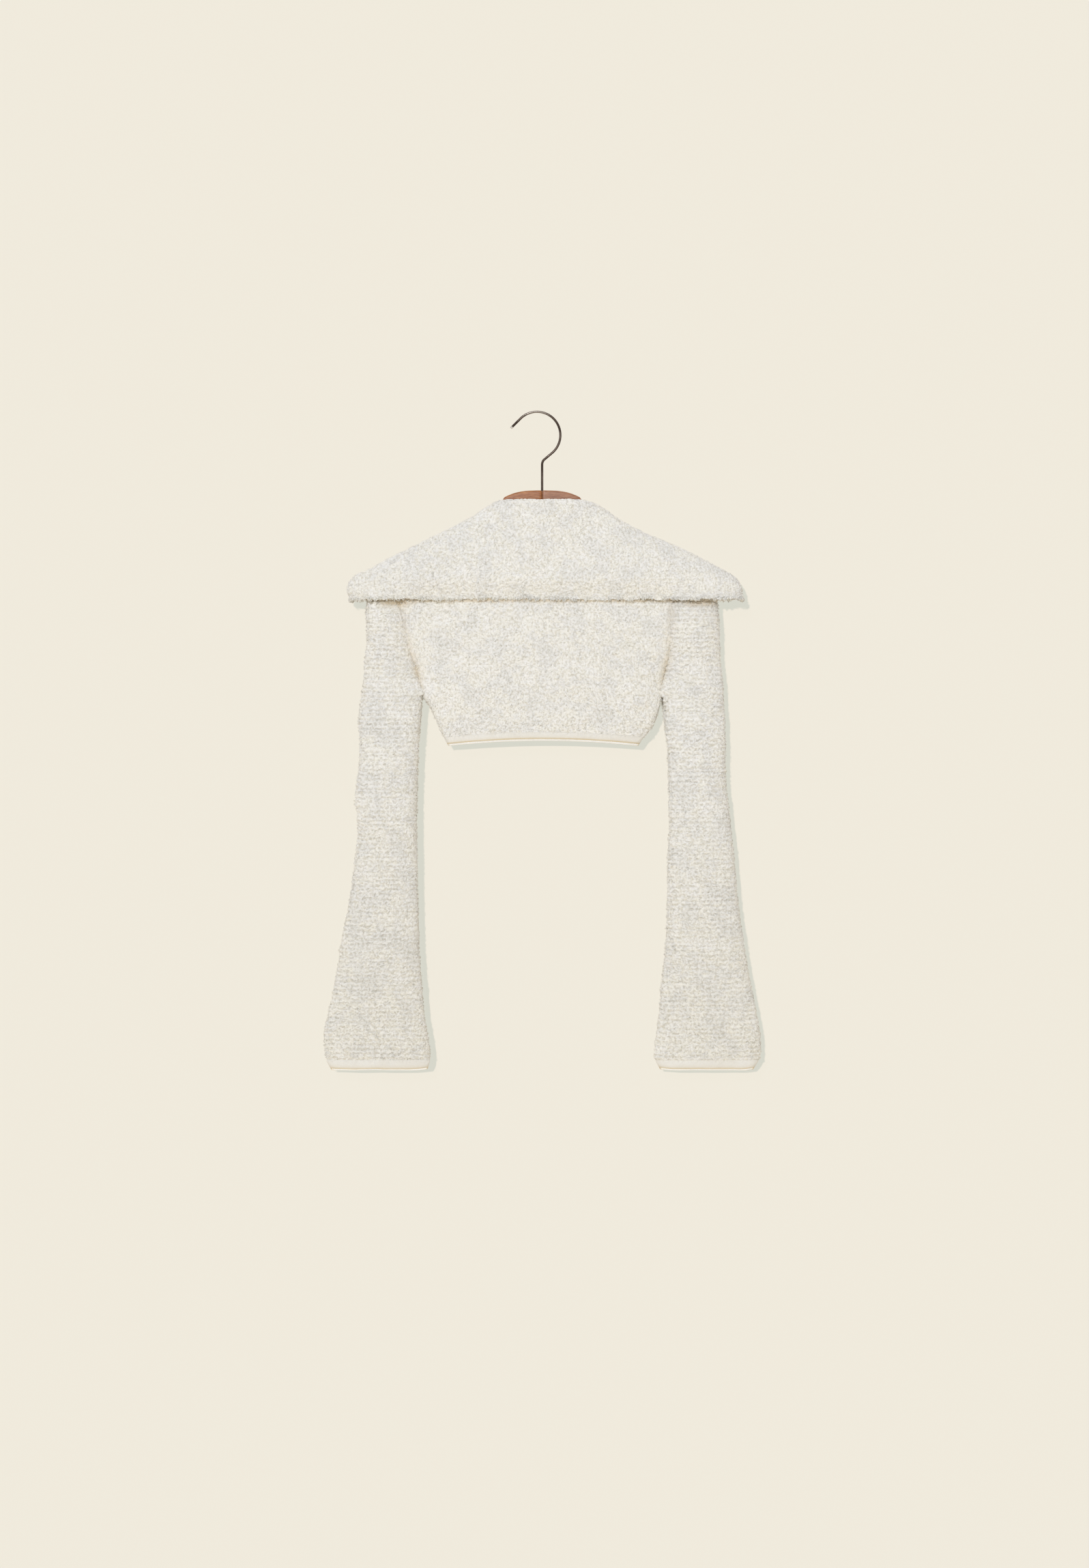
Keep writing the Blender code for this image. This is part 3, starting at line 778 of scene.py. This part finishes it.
def attribute(tree, name):
    return add(tree, "ShaderNodeAttribute", attribute_name=name).outputs["Fac"]


def one_axis(tree, place, axis):
    return add(tree, "ShaderNodeSeparateXYZ", {0: place}).outputs[axis]


def noise(tree, place, size, detail, roughness=0.5, distortion=0.0):
    """Noise from 0 to 1, with features about this many millimetres across."""
    sockets = {"Vector": place, "Scale": per_mm(size), "Detail": detail}
    sockets.update({"Roughness": roughness, "Distortion": distortion})
    return add(tree, "ShaderNodeTexNoise", sockets).outputs["Fac"]


def waves(tree, place, size, distortion, detail_scale, direction):
    """Soft bands from 0 to 1, this many millimetres apart."""
    sockets = {"Vector": place, "Scale": per_mm(size) * WAVE_TURN, "Distortion": distortion}
    sockets.update({"Detail": 1.0, "Detail Scale": detail_scale})
    return add(tree, "ShaderNodeTexWave", sockets, bands_direction=direction).outputs["Fac"]


def maths(tree, operation, first, second):
    return add(tree, "ShaderNodeMath", {0: first, 1: second}, operation=operation).outputs[0]


def rescaled(tree, value, start, end, low, high):
    """Low where the value is at its start, high at its end and even between them."""
    sockets = {0: value, 1: start, 2: end, 3: low, 4: high}
    return add(tree, "ShaderNodeMapRange", sockets).outputs[0]


def mixed(tree, amount, first, second, way="MULTIPLY"):
    """The first colour, multiplied by the second or mixed with it by the amount."""
    sockets = {0: amount, 6: first, 7: second}
    return add(tree, "ShaderNodeMix", sockets, data_type="RGBA", blend_type=way).outputs[2]


def bumps(tree, height, strength, distance, below=None):
    """Bumps this many millimetres high, on top of the bumps below if any are given."""
    sockets = {"Height": height, "Strength": strength, "Distance": distance * MM}
    if below is not None:
        sockets["Normal"] = below
    return add(tree, "ShaderNodeBump", sockets).outputs[0]


def boucle(name, valley, crown, on_cloth=True, rows=False):
    """Brushed boucle of a wool blend: looped yarn, matte, with a faint soft sheen."""
    made, tree, shader = blank(name, Roughness=0.95, Sheen_Weight=0.15, Sheen_Roughness=0.6)
    place = object_place(tree)
    tint = ramp(tree, noise(tree, place, 26, 4.0, 0.65), TINTS)
    if on_cloth:
        # Curls of yarn about 3 mm across lie on the larger relief of the mesh.
        where = knit_place(tree)
        curling = noise(tree, where, 2.7, 1.5, 0.5, 0.4)
        if rows:
            # On a sleeve they lie in crooked rows.
            swings = maths(tree, "MULTIPLY", waves(tree, where, SLEEVE_ROW, 5.0, 3.6, "Y"), 0.22)
            swings = maths(tree, "SUBTRACT", swings, 0.11)
            curling = maths(tree, "ADD", curling, swings)
        yarn = rescaled(tree, curling, 0.34, 0.58, 0.0, 0.7)
        loft = maths(tree, "MULTIPLY", attribute(tree, "loft"), 0.3)
        depth = maths(tree, "ADD", loft, yarn)
    else:
        depth = noise(tree, place, 2.6, 2.0, 0.55)
    # Painted shade on the cloth: darker deep between the loops, where shade falls. On the curls
    # the tone differs at random.
    shade = ramp(tree, depth, ((0.10, valley), (0.75, crown)))
    colour = mixed(tree, 1.0, tint, shade)
    # Painted shade: the cloth is darker towards the cuffs, lower down, where less light falls.
    wear_and_shade = rescaled(tree, one_axis(tree, place, "Z"), -0.40, -0.76, 0.0, 1.0)
    colour = mixed(tree, wear_and_shade, colour, linear(LOWER_SHADE_TONE))
    fibres = noise(tree, place, 0.9, 3.0, 0.7)
    bump = bumps(tree, fibres, 0.4, 0.5)
    if on_cloth:
        bump = bumps(tree, curling, 1.0, 2.3 if rows else 2.1, bump)
        # Painted shade: a biscuit tone in the seams and under the collar's edge, where shade
        # falls.
        colour = mixed(tree, attribute(tree, "painted_shade"), colour, linear(SEAM_SHADE_TONE))
    tree.links.new(colour, shader.inputs["Base Color"])
    tree.links.new(bump, shader.inputs["Normal"])
    return made


def jersey_band(name):
    """Fine plain-knit binding, folded over the edge: smooth, creamier than the boucle."""
    made, tree, shader = blank(name, Roughness=0.9, Sheen_Weight=0.1, Sheen_Roughness=0.5)
    where = knit_place(tree)
    patches = noise(tree, object_place(tree), 22, 2.0)
    tint = ramp(tree, patches, ((0.35, "#f0eee7"), (0.65, "#ece9e0")))
    # Painted shade: on the outer face the tone deepens towards the lower edge, where the binding
    # rolls in away from the light.
    inside = attribute(tree, "inside")
    outside = maths(tree, "SUBTRACT", 1.0, inside)
    edge = maths(tree, "MULTIPLY", attribute(tree, "loft"), outside)
    colour = mixed(tree, edge, tint, linear(BAND_EDGE_SHADE_TONE))
    tree.links.new(colour, shader.inputs["Base Color"])
    # Painted light: the inner face glows, standing in for light that comes through the single
    # layer below the front edge, from behind.
    glow = maths(tree, "MULTIPLY", inside, BAND_PAINTED_GLOW)
    tree.links.new(glow, shader.inputs["Emission Strength"])
    shader.inputs["Emission Color"].default_value = linear("#f6f6f6")
    # Stitches 2.4 mm wide, twice as coarse as such a binding has, so that they show.
    stitches = waves(tree, where, 2.4, 0.6, 2.0, "X")
    bump = bumps(tree, stitches, 0.35, 0.25)
    # The knit behind shows through as soft bumps, which die away towards the lower edge.
    through = rescaled(tree, one_axis(tree, where, "Y"), 0.0, 0.007, 1.0, 0.25)
    bump = bumps(tree, noise(tree, where, 4.2, 2.0), through, 2.2, bump)
    tree.links.new(bump, shader.inputs["Normal"])
    return made


def varnished_wood(name, tones, lean):
    """Lotus or beech, stained and varnished: fine leaning grain under a satin coat."""
    made, tree, shader = blank(name, Roughness=0.48, Coat_Weight=0.25, Coat_Roughness=0.35)
    drawn = {"Rotation": (0, math.radians(lean), 0), "Scale": (1.0, 3.0, 9.0)}
    turned = add(tree, "ShaderNodeMapping", {"Vector": object_place(tree), **drawn}).outputs[0]
    # Grain lines about 1 mm apart and 10 mm long.
    grain = noise(tree, turned, 9, 6.0, 0.65, 0.4)
    colour = ramp(tree, grain, tuple(zip((0.30, 0.50, 0.70), tones)))
    pores = ramp(tree, noise(tree, turned, 3, 2.0), ((0.30, "#d8c8bc"), (0.48, "#ffffff")))
    tree.links.new(mixed(tree, 0.7, colour, pores), shader.inputs["Base Color"])
    tree.links.new(bumps(tree, grain, 0.15, 0.2), shader.inputs["Normal"])
    return made


def plated_steel(name, dark, light, highlight_tone, roughness):
    """Drawn steel wire, nickel plated and darkened in patches with age, with a painted highlight
    at the crown.
    """
    made, tree, shader = blank(name, Metallic=1.0)
    place = object_place(tree)
    cloudy = noise(tree, place, 16, 1.0)
    tone = ramp(tree, cloudy, ((0.35, dark), (0.72, light)))
    # Painted highlight: the wire is lighter at the crown, where it catches the light from above.
    painted_highlight = rescaled(tree, one_axis(tree, place, "Z"), -0.004, 0.0035, 0.0, 0.85)
    tone = mixed(tree, painted_highlight, tone, linear(highlight_tone), "MIX")
    tree.links.new(tone, shader.inputs["Base Color"])
    wear_and_shade = rescaled(tree, cloudy, 0.3, 0.7, roughness, roughness + 0.14)
    tree.links.new(wear_and_shade, shader.inputs["Roughness"])
    return made


def make_finishes():
    warm, grey = ("#85491c", "#ab6b36", "#c88c52"), ("#83523a", "#a8734f", "#c2906b")
    wire, wire_end = ("#453a33", "#71655c", "#b9b0a6"), ("#b9b5ae", "#e6e3dd", "#e6e3dd")
    SURFACES["knit"] = boucle("looped_boucle_knit", "#eae7e0", "#ffffff")
    SURFACES["sleeve_knit"] = boucle("looped_boucle_in_rows", "#e9e6df", "#ffffff", rows=True)
    SURFACES["curls"] = boucle("boucle_yarn_curls", "#f4f2ec", "#fffffe", on_cloth=False)
    SURFACES["band"] = jersey_band("fine_jersey_binding")
    SURFACES["wood_left"] = varnished_wood("varnished_wood_warm", warm, -24)
    SURFACES["wood_right"] = varnished_wood("varnished_wood_grey", grey, 18)
    SURFACES["steel"] = plated_steel("aged_nickel_wire", *wire, 0.26)
    SURFACES["steel_end"] = plated_steel("polished_wire_end", *wire_end, 0.2)


# ------------------------------------------------------------------ cloth pieces


def below_collar(points, normals):
    """How likely a curl is: none under the collar, fewer behind, where little light falls."""
    shown = -points[:, 2] > COLLAR_COVERS
    return shown * np.where(normals[:, 1] > 0.35, 0.5, 1.0)


def down_to(top, bottom, spacing):
    """Drops down a piece, far apart as long as the collar covers it."""
    return stations((top, COLLAR_COVERS, HIDDEN_STEP), (COLLAR_COVERS, bottom - BAND_GAP, spacing))


def body_half(side, drops, spacing, creases, outwards):
    grid, g = half_tube(BODY, drops, side, ("hole_left", "hole_right"))
    grid = creased(grid, creases)
    arch = HEM_ARCH * smooth_step(HEM_ARCH_FROM, HEM_SEAM, -grid[..., 2])
    grid[..., 2] -= arch * (2 * g - 1) ** 2
    grid[..., 1] *= facing(side)
    return Cloth(even_columns(grid, spacing), outwards)


def make_body():
    made = {}
    for side, spacing, creases, outwards, seed in (
        ("front", FACE_STEP, CREASES_FRONT, forwards, 3),
        ("back", BACK_STEP, CREASES_BACK, backwards, 41),
    ):
        drops = down_to(BODY.rows[0, 0], HEM_SEAM, spacing)
        cloth = body_half(side, drops, spacing, creases, outwards)
        relief, loft = granular(cloth, seed)
        sewn = smooth_step(UNDERARM + 24, UNDERARM - 6, cloth.drop)
        cloth.raise_face(at_sewn_edges(cloth, relief, sewn), loft)
        # Painted shade in the armhole seams and under the collar's edge.
        armhole = smooth_step(UNDERARM + 14, UNDERARM - 10, cloth.drop)
        cloth.painted_shade = shaded_seam(cloth, armhole) + under_the_edge(cloth)
        panel = shell(f"boucle_body_{side}", cloth, KNIT_WALL, SURFACES["knit"], facing(side))
        curled = pile(f"pile_body_{side}", cloth, CURL_STEP[side], below_collar, seed + 1)
        made[side] = (panel, curled)
        finish_piece(panel, f"body_{side}")
        finish_piece(curled, None)
    return made


def make_hem():
    made = {}
    for side, lower, spacing, outwards in (
        ("front", HEM_FRONT, FACE_STEP * 1.5, forwards),
        ("back", HEM_BACK, BACK_STEP * 1.5, backwards),
    ):
        drops = np.linspace(HEM_SEAM, lower, EDGE_STEPS)
        cloth = body_half(side, drops, spacing, (), outwards)
        made[side] = rolled_band(f"hem_binding_{side}", cloth, facing(side))
        finish_piece(made[side], f"hem_band_{side}")
    return made


def rolled_band(name, cloth, keep_side):
    """A folded binding: it swells in the middle and rolls in at its two edges."""
    across = cloth.v / cloth.length
    swell = BAND_SWELL * (1 - smooth_step(0.75, 1.0, across))
    swell = swell + 0.25 * drift(cloth.u, cloth.v, 14.0, 77)
    # Painted shade: the binding's tone deepens towards its lower edge, where it rolls in away from
    # the light.
    rounded = 0.3 * smooth_step(0.35, 1.0, across)
    rolled_edge_shade = rounded + 0.7 * smooth_step(cloth.length - 2.2, cloth.length - 0.4, cloth.v)
    cloth.raise_face(swell, rolled_edge_shade)
    return shell(name, cloth, BAND_WALL, SURFACES["band"], keep_side)


def make_sleeve(name, table, side, seed):
    drops = down_to(table.rows[0, 0], CUFF_SEAM, FACE_STEP)
    grid = sleeve_tube(table, drops, side)
    cloth = Cloth(even_columns(grid, FACE_STEP), away_from_middle)
    relief, loft = in_rows(cloth, seed)
    sewn = 0.8 - 0.3 * smooth_step(300, 360, cloth.drop)
    relief = at_sewn_edges(cloth, relief, sewn)
    # Soft folds where the arm bends and where the cloth hangs from the shoulder.
    fold = 1.6 * drift(0.45 * cloth.u, cloth.v + 0.5 * cloth.u, 46.0, seed + 21)
    shown = smooth_step(*HIDDEN_LINE, cloth.drop)
    relief = relief + fold * smooth_step(0, 25, cloth.from_edge) * shown
    # The rows end in loops that stand out from the sleeve's left side.
    x = cloth.form[..., 0]
    at_left = np.exp(-(((x - x.min(axis=1, keepdims=True)) / 6.0) ** 2))
    cloth.raise_face(relief * (1 + 1.2 * at_left), loft)
    # Painted shade in the armhole seams and under the collar's edge.
    armhole = 0.8 * smooth_step(UNDERARM + 20, UNDERARM - 10, cloth.drop)
    cloth.painted_shade = np.clip(shaded_seam(cloth, armhole) + under_the_edge(cloth), 0, 1)
    tube = shell(f"boucle_sleeve_{name}", cloth, KNIT_WALL, SURFACES["sleeve_knit"])
    curled = pile(f"pile_sleeve_{name}", cloth, CURL_STEP["sleeve"], below_collar, seed + 1)
    finish_piece(tube, f"sleeve_{name}")
    finish_piece(curled, None)

    cuff = sleeve_tube(table, np.linspace(CUFF_SEAM, CUFF_FRONT, EDGE_STEPS), side)
    lowered = np.linspace(0, 1, len(cuff))[:, None]
    x = cuff[..., 0]
    to_side = np.abs(2 * (x - x.min()) / (x.max() - x.min()) - 1)
    cuff[..., 2] += lowered * (CUFF_CORNER * to_side**8 + 0.35 * drift(x, 0 * x, 13.0, 31))
    behind = smooth_step(0, 4, np.maximum(cuff[..., 1], 0))
    cuff[..., 2] -= (CUFF_BACK - CUFF_FRONT) * lowered * behind
    cuff_cloth = Cloth(even_columns(cuff, FACE_STEP * 1.5), away_from_middle)
    band = rolled_band(f"cuff_binding_{name}", cuff_cloth, None)
    finish_piece(band, f"cuff_band_{name}")
    return tube, curled, band


def collar_half(side, spacing):
    """From the tucked inner layer up and over the fold, and down to the loose lower edge."""
    top, bottom = COLLAR.rows[0, 0], COLLAR.rows[-1, 0]
    radius = COLLAR_FOLD / 2
    turn = np.linspace(0, np.pi, EDGE_STEPS)[1:-1]
    tucked = np.linspace(COLLAR_TUCK, top + radius, LINING_STEPS + 1)
    outside = stations((top + radius, bottom, spacing))
    drops = np.concatenate([tucked, top + radius * (1 - np.sin(turn)), outside])
    fold = (np.ones(len(tucked)), (1 + np.cos(turn)) / 2, np.zeros(len(outside)))
    folded = np.concatenate(fold)[:, None]
    grid, _ = half_tube(COLLAR, drops, side)
    middle = np.sin(np.pi * np.linspace(0, 1, grid.shape[1]))[None, :]
    dip = COLLAR_TOP_DIP * (1 - smooth_step(top, COLLAR_DIP_ENDS, drops))[:, None]
    grid[..., 2] -= dip * (1 - middle) ** 2
    grid = creased(grid, CREASES_COLLAR)
    lies_down = smooth_step(bottom - 26, bottom, drops)[:, None]
    lies_down = lies_down * smooth_step(190, 130, np.abs(grid[..., 0]))
    grid[..., 1] -= COLLAR_LIES_DOWN * lies_down
    grid[..., 1] -= np.minimum(folded * (COLLAR_FOLD - KNIT_WALL), 0.8 * grid[..., 1])
    grid[..., 1] *= facing(side)
    even = even_columns(grid, spacing)
    x, drop = even[..., 0], -even[..., 2]
    uneven = 0.9 * drift(x, 0 * x, 9.0, 15) + 1.0 * drift(x, 0 * x, 3.6, 16)
    even[..., 2] += uneven * smooth_step(bottom - 7, bottom, drop)
    return Cloth(even, outwards_of_collar(side))


def outwards_of_collar(side):
    def reference(grid):
        away = np.zeros_like(grid)
        away[len(grid) // 2 :, :, 1] = facing(side)
        return away

    return reference


def on_collar(way):
    """Curls stand on the outer layer of a collar half, and none on the fold over the wood."""
    bare = COLLAR.rows[0, 0] + 4.5

    def wanted(points, _):
        on_wood = (np.abs(points[:, 0] - CENTRE_X) < 50) & (-points[:, 2] < bare)
        return 1.0 * (points[:, 1] * way > 2.0) * ~on_wood

    return wanted


def make_collar():
    made = {}
    for side, spacing, seed, step in (
        ("front", FACE_STEP * 1.1, 5, CURL_STEP["collar"]),
        ("back", BACK_STEP, 61, CURL_STEP["back"]),
    ):
        way = facing(side)
        cloth = collar_half(side, spacing)
        relief, loft = knit_collar(cloth, seed)
        outer = smooth_step(9.0, 13.0, cloth.v)
        cloth.raise_face(relief * outer * smooth_step(0.0, 2.5, cloth.from_edge), loft)
        panel = shell(f"boucle_collar_{side}", cloth, KNIT_WALL, SURFACES["knit"], way)
        fringe = fringe_places(cloth, way)
        curled = pile(f"pile_collar_{side}", cloth, step, on_collar(way), seed + 1, fringe)
        finish_piece(panel, f"collar_{side}")
        finish_piece(curled, None)
        made[side] = (panel, curled)
    return made


def fringe_places(cloth, way):
    """Points along the collar's lower edge, where loose loops of yarn hang down."""
    draws = np.random.default_rng(90 + way)
    count = int(cloth.girth[-1] / FRINGE_STEP)
    column = np.sort(draws.uniform(0, cloth.u.shape[1] - 1.001, count))
    row = np.full(count, cloth.u.shape[0] - 1.4) - draws.uniform(0, 1.0, count)
    normals = between(cloth.normal, row, column)
    points = between(cloth.face, row, column) + normals * 0.4
    return points, unit(normals * 0.35 + np.array((0.0, 0.0, -1.0))), FRINGE_SIZE


# ------------------------------------------------------------------ hanger


def start_editing():
    bpy.ops.object.mode_set(mode="EDIT")


def stop_editing():
    bpy.ops.object.mode_set(mode="OBJECT")


def draw_out(shift):
    """Extrudes the chosen end by so many millimetres."""
    bpy.ops.mesh.extrude_region_move(TRANSFORM_OT_translate={"value": tuple(shift * MM)})


def resize(factors, centre):
    bpy.ops.transform.resize(value=factors, center_override=tuple(to_metres(centre)))


def deselect_all():
    for obj in bpy.context.selected_objects:
        obj.select_set(False)


def make_arm(name, side, finish):
    """A hanger half: a block at the glue line, drawn out along the arm and rounded."""
    deselect_all()
    close, wider = np.arange(4.0, 60.0, 4.0), np.arange(66.0, 180.0, 9.0)
    outs = np.concatenate([close, wider, [184.0, 188.0, 190.0]])
    near, first = SEAM_GAP / 2, outs[0]
    top, bottom, half = (float(ARM.at(column, first)) for column in ("top", "bottom", "half"))
    bpy.ops.mesh.primitive_cube_add(
        size=1,
        location=to_metres(np.array((side * (near + first) / 2, 0, -(top + bottom) / 2))),
        scale=((first - near) * MM, 2 * half * MM, (bottom - top) * MM),
    )
    arm = bpy.context.object
    arm.name = arm.data.name = name
    bpy.ops.object.transform_apply(location=True, rotation=True, scale=True)
    start_editing()
    bpy.ops.mesh.select_mode(type="FACE")
    bpy.ops.mesh.select_all(action="DESELECT")
    stop_editing()
    end = max(arm.data.polygons, key=lambda face: side * face.center.x)
    end.select = True
    start_editing()
    place, size = (first, (top + bottom) / 2), (half, bottom - top)
    for out in outs[1:]:
        top, bottom, half = (float(ARM.at(column, out)) for column in ("top", "bottom", "half"))
        middle = (top + bottom) / 2
        draw_out(np.array((side * (out - place[0]), 0, place[1] - middle)))
        centre = np.array((side * out, 0, -middle))
        resize((1, half / size[0], (bottom - top) / size[1]), centre)
        place, size = (out, middle), (half, bottom - top)
    bpy.ops.mesh.select_all(action="SELECT")
    bpy.ops.mesh.normals_make_consistent(inside=False)
    stop_editing()
    edge = arm.modifiers.new("rounded edges", "BEVEL")
    edge.width = WOOD_EDGE * MM
    edge.segments = 4
    edge.limit_method = "ANGLE"
    edge.angle_limit = math.radians(60)
    bpy.ops.object.modifier_apply(modifier=edge.name)
    bpy.ops.object.shade_smooth_by_angle(angle=math.radians(35))
    arm.data.materials.append(finish)
    arm.visible_shadow = False
    return arm


def make_hook(finish, end_finish):
    """The wire: a disc at the foot of the shank, drawn up, spun round the neck and the hook."""
    deselect_all()
    heading = math.radians(HOOK_LEAVES_ANGLE)
    turn = math.pi / 2 + heading
    hook_centre = np.array((0.0, 0.0, WIRE / 2 - HOOK_RADIUS)) - (CENTRE_X, 0, 0)
    leaves = hook_centre + HOOK_RADIUS * np.array((math.cos(heading), 0, math.sin(heading)))
    along = np.array((math.sin(heading), 0, -math.cos(heading)))
    sideways = NECK_RADIUS * (1 - math.cos(turn))
    straight = (leaves[0] - sideways) / abs(along[0])
    neck_top = leaves + along * straight
    neck_centre = neck_top + NECK_RADIUS * np.array((math.cos(turn), 0, -math.sin(turn)))
    bpy.ops.mesh.primitive_circle_add(
        vertices=20,
        radius=WIRE / 2 * MM,
        fill_type="NGON",
        location=to_metres(np.array((0, 0, -SHANK_BOTTOM))),
    )
    wire = bpy.context.object
    wire.name = wire.data.name = "steel_hook"
    bpy.ops.object.transform_apply(location=True, rotation=True, scale=True)
    start_editing()
    bpy.ops.mesh.select_all(action="SELECT")
    rise = SHANK_BOTTOM + neck_centre[2]
    draw_out(np.array((0, 0, rise)))
    bpy.ops.mesh.spin(steps=10, angle=turn, center=to_metres(neck_centre), axis=(0, -1, 0))
    draw_out(-along * straight)
    sweep = math.radians(HOOK_TIP_ANGLE) - heading
    bpy.ops.mesh.spin(steps=48, angle=sweep, center=to_metres(hook_centre), axis=(0, 1, 0))
    tip_angle = math.radians(HOOK_TIP_ANGLE)
    tip = hook_centre + HOOK_RADIUS * np.array((math.cos(tip_angle), 0, math.sin(tip_angle)))
    onward = np.array((-math.sin(tip_angle), 0, math.cos(tip_angle)))
    straight_tip = TIP_STRAIGHT - 2.5
    tip = tip + onward * straight_tip
    draw_out(onward * straight_tip)
    for reach, width in ((0.4, 1.14), (1.0, 1.03), (0.7, 0.84), (0.4, 0.6)):
        tip = tip + onward * reach
        draw_out(onward * reach)
        resize((width, width, width), tip)
    bpy.ops.mesh.select_all(action="SELECT")
    bpy.ops.mesh.remove_doubles(threshold=0.00002)
    bpy.ops.mesh.normals_make_consistent(inside=False)
    stop_editing()
    bpy.ops.object.shade_smooth_by_angle(angle=math.radians(50))
    wire.data.materials.append(finish)
    wire.data.materials.append(end_finish)
    near_tip = to_metres(tip)
    for face in wire.data.polygons:
        if math.dist(face.center, near_tip) < 4.5 * MM:
            face.material_index = 1
    wire.visible_shadow = False
    return wire


# ------------------------------------------------------------------ putting it together


def finish_piece(piece, node):
    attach(piece, "root")
    if node:
        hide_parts(node)


def make_camera():
    data = bpy.data.cameras.new("camera")
    data.sensor_fit = "VERTICAL"
    data.sensor_height = 36.0
    data.lens = data.sensor_height * abs(CAMERA_PLACE[1]) / VIEW_HEIGHT
    data.clip_end = 50.0
    camera = bpy.data.objects.new("camera", data)
    camera.location = CAMERA_PLACE
    camera.rotation_euler = (math.radians(90), 0, 0)
    bpy.context.collection.objects.link(camera)
    bpy.context.scene.camera = camera


def plane(name, corners, finish):
    mesh = bpy.data.meshes.new(name)
    mesh.from_pydata(corners, [], [(0, 1, 2, 3)])
    mesh.materials.append(finish)
    made = bpy.data.objects.new(name, mesh)
    bpy.context.collection.objects.link(made)
    return made


def make_stage():
    """A cream paper wall close behind the garment and a pale floor well below it."""
    paper = bpy.data.materials.new("cream_paper")
    paper.use_nodes = True
    tree = paper.node_tree
    tree.nodes.clear()
    glow = add(tree, "ShaderNodeEmission", {"Color": linear(PAPER_IN_SHADOW), "Strength": 1.0})
    matte = add(tree, "ShaderNodeBsdfDiffuse", {"Color": (0.02, 0.02, 0.02, 1)})
    front = add(tree, "ShaderNodeAddShader", {0: glow.outputs[0], 1: matte.outputs[0]})
    clear = add(tree, "ShaderNodeBsdfTransparent").outputs[0]
    behind = add(tree, "ShaderNodeNewGeometry").outputs["Backfacing"]
    both = add(tree, "ShaderNodeMixShader", {0: behind, 1: front.outputs[0], 2: clear})
    add(tree, "ShaderNodeOutputMaterial", {"Surface": both.outputs[0]})
    wide, high = 3.0, 3.0
    ends = ((-wide, FLOOR_Z), (wide, FLOOR_Z), (wide, high), (-wide, high))
    wall = plane("paper_wall", [(x, WALL_Y, z) for x, z in ends], paper)
    wall.visible_diffuse = False
    wall.visible_glossy = False
    wall.visible_shadow = False

    pale, _, shader = blank("pale_floor_paint", Roughness=0.9)
    shader.inputs["Base Color"].default_value = linear("#efe9dc")
    ends = ((-4, -4), (4, -4), (4, 4), (-4, 4))
    plane("floor", [(x, y, FLOOR_Z) for x, y in ends], pale)
    return wall


def make_lights(wall):
    world = bpy.data.worlds.new("soft_studio")
    bpy.context.scene.world = world
    world.use_nodes = True
    tree = world.node_tree
    tree.nodes.clear()
    towards = add(tree, "ShaderNodeTexCoord").outputs["Generated"]
    strength = rescaled(tree, one_axis(tree, towards, "Y"), -0.2, 0.7, FILL, FILL_BEHIND)
    fill = {"Strength": strength, "Color": (1.0, 0.955, 0.90, 1)}
    fill = add(tree, "ShaderNodeBackground", fill).outputs[0]
    seen = {"Color": linear(PAPER), "Strength": 1.0}
    seen = add(tree, "ShaderNodeBackground", seen).outputs[0]
    camera_ray = add(tree, "ShaderNodeLightPath").outputs["Is Camera Ray"]
    light = add(tree, "ShaderNodeMixShader", {0: camera_ray, 1: fill, 2: seen})
    add(tree, "ShaderNodeOutputWorld", {"Surface": light.outputs[0]})

    sun("key_light", KEY, (0.98, 1.03, 1.13), across=12, above=18, softness=5)
    sun("floor_bounce", BOUNCE, (1.0, 0.97, 0.92), across=0, above=-32, softness=40)
    shadow = sun("wall_light", 30.0, PAPER_SUN, across=9.2, above=8.0, softness=0.6)
    only = bpy.data.collections.new("lit_by_wall_light")
    only.objects.link(wall)
    shadow.light_linking.receiver_collection = only


def sun(name, strength, colour, across, above, softness):
    """A distant light. Across (to the left) and above are its angles off straight on."""
    data = bpy.data.lights.new(name, "SUN")
    data.energy = strength
    data.color = colour
    data.angle = math.radians(softness)
    light = bpy.data.objects.new(name, data)
    light.rotation_euler = (math.radians(90 - above), 0, math.radians(-across))
    bpy.context.collection.objects.link(light)
    return light


def main():
    scene = bpy.context.scene
    scene.view_settings.view_transform = "Standard"
    scene.view_settings.look = "None"
    make_finishes()
    make_camera()
    make_lights(make_stage())
    for name, side, slot in (("left", -1, "wood_warm"), ("right", 1, "wood_grey")):
        arm = make_arm(f"hanger_half_{name}", side, SURFACES[f"wood_{name}"])
        finish_piece(arm, f"hanger_arm_{name}")
    hook = make_hook(SURFACES["steel"], SURFACES["steel_end"])
    finish_piece(hook, "hanger_hook")
    body = make_body()
    hem = make_hem()
    left = make_sleeve("left", SLEEVE_LEFT, -1, 11)
    right = make_sleeve("right", SLEEVE_RIGHT, 1, 29)
    make_collar()


main()
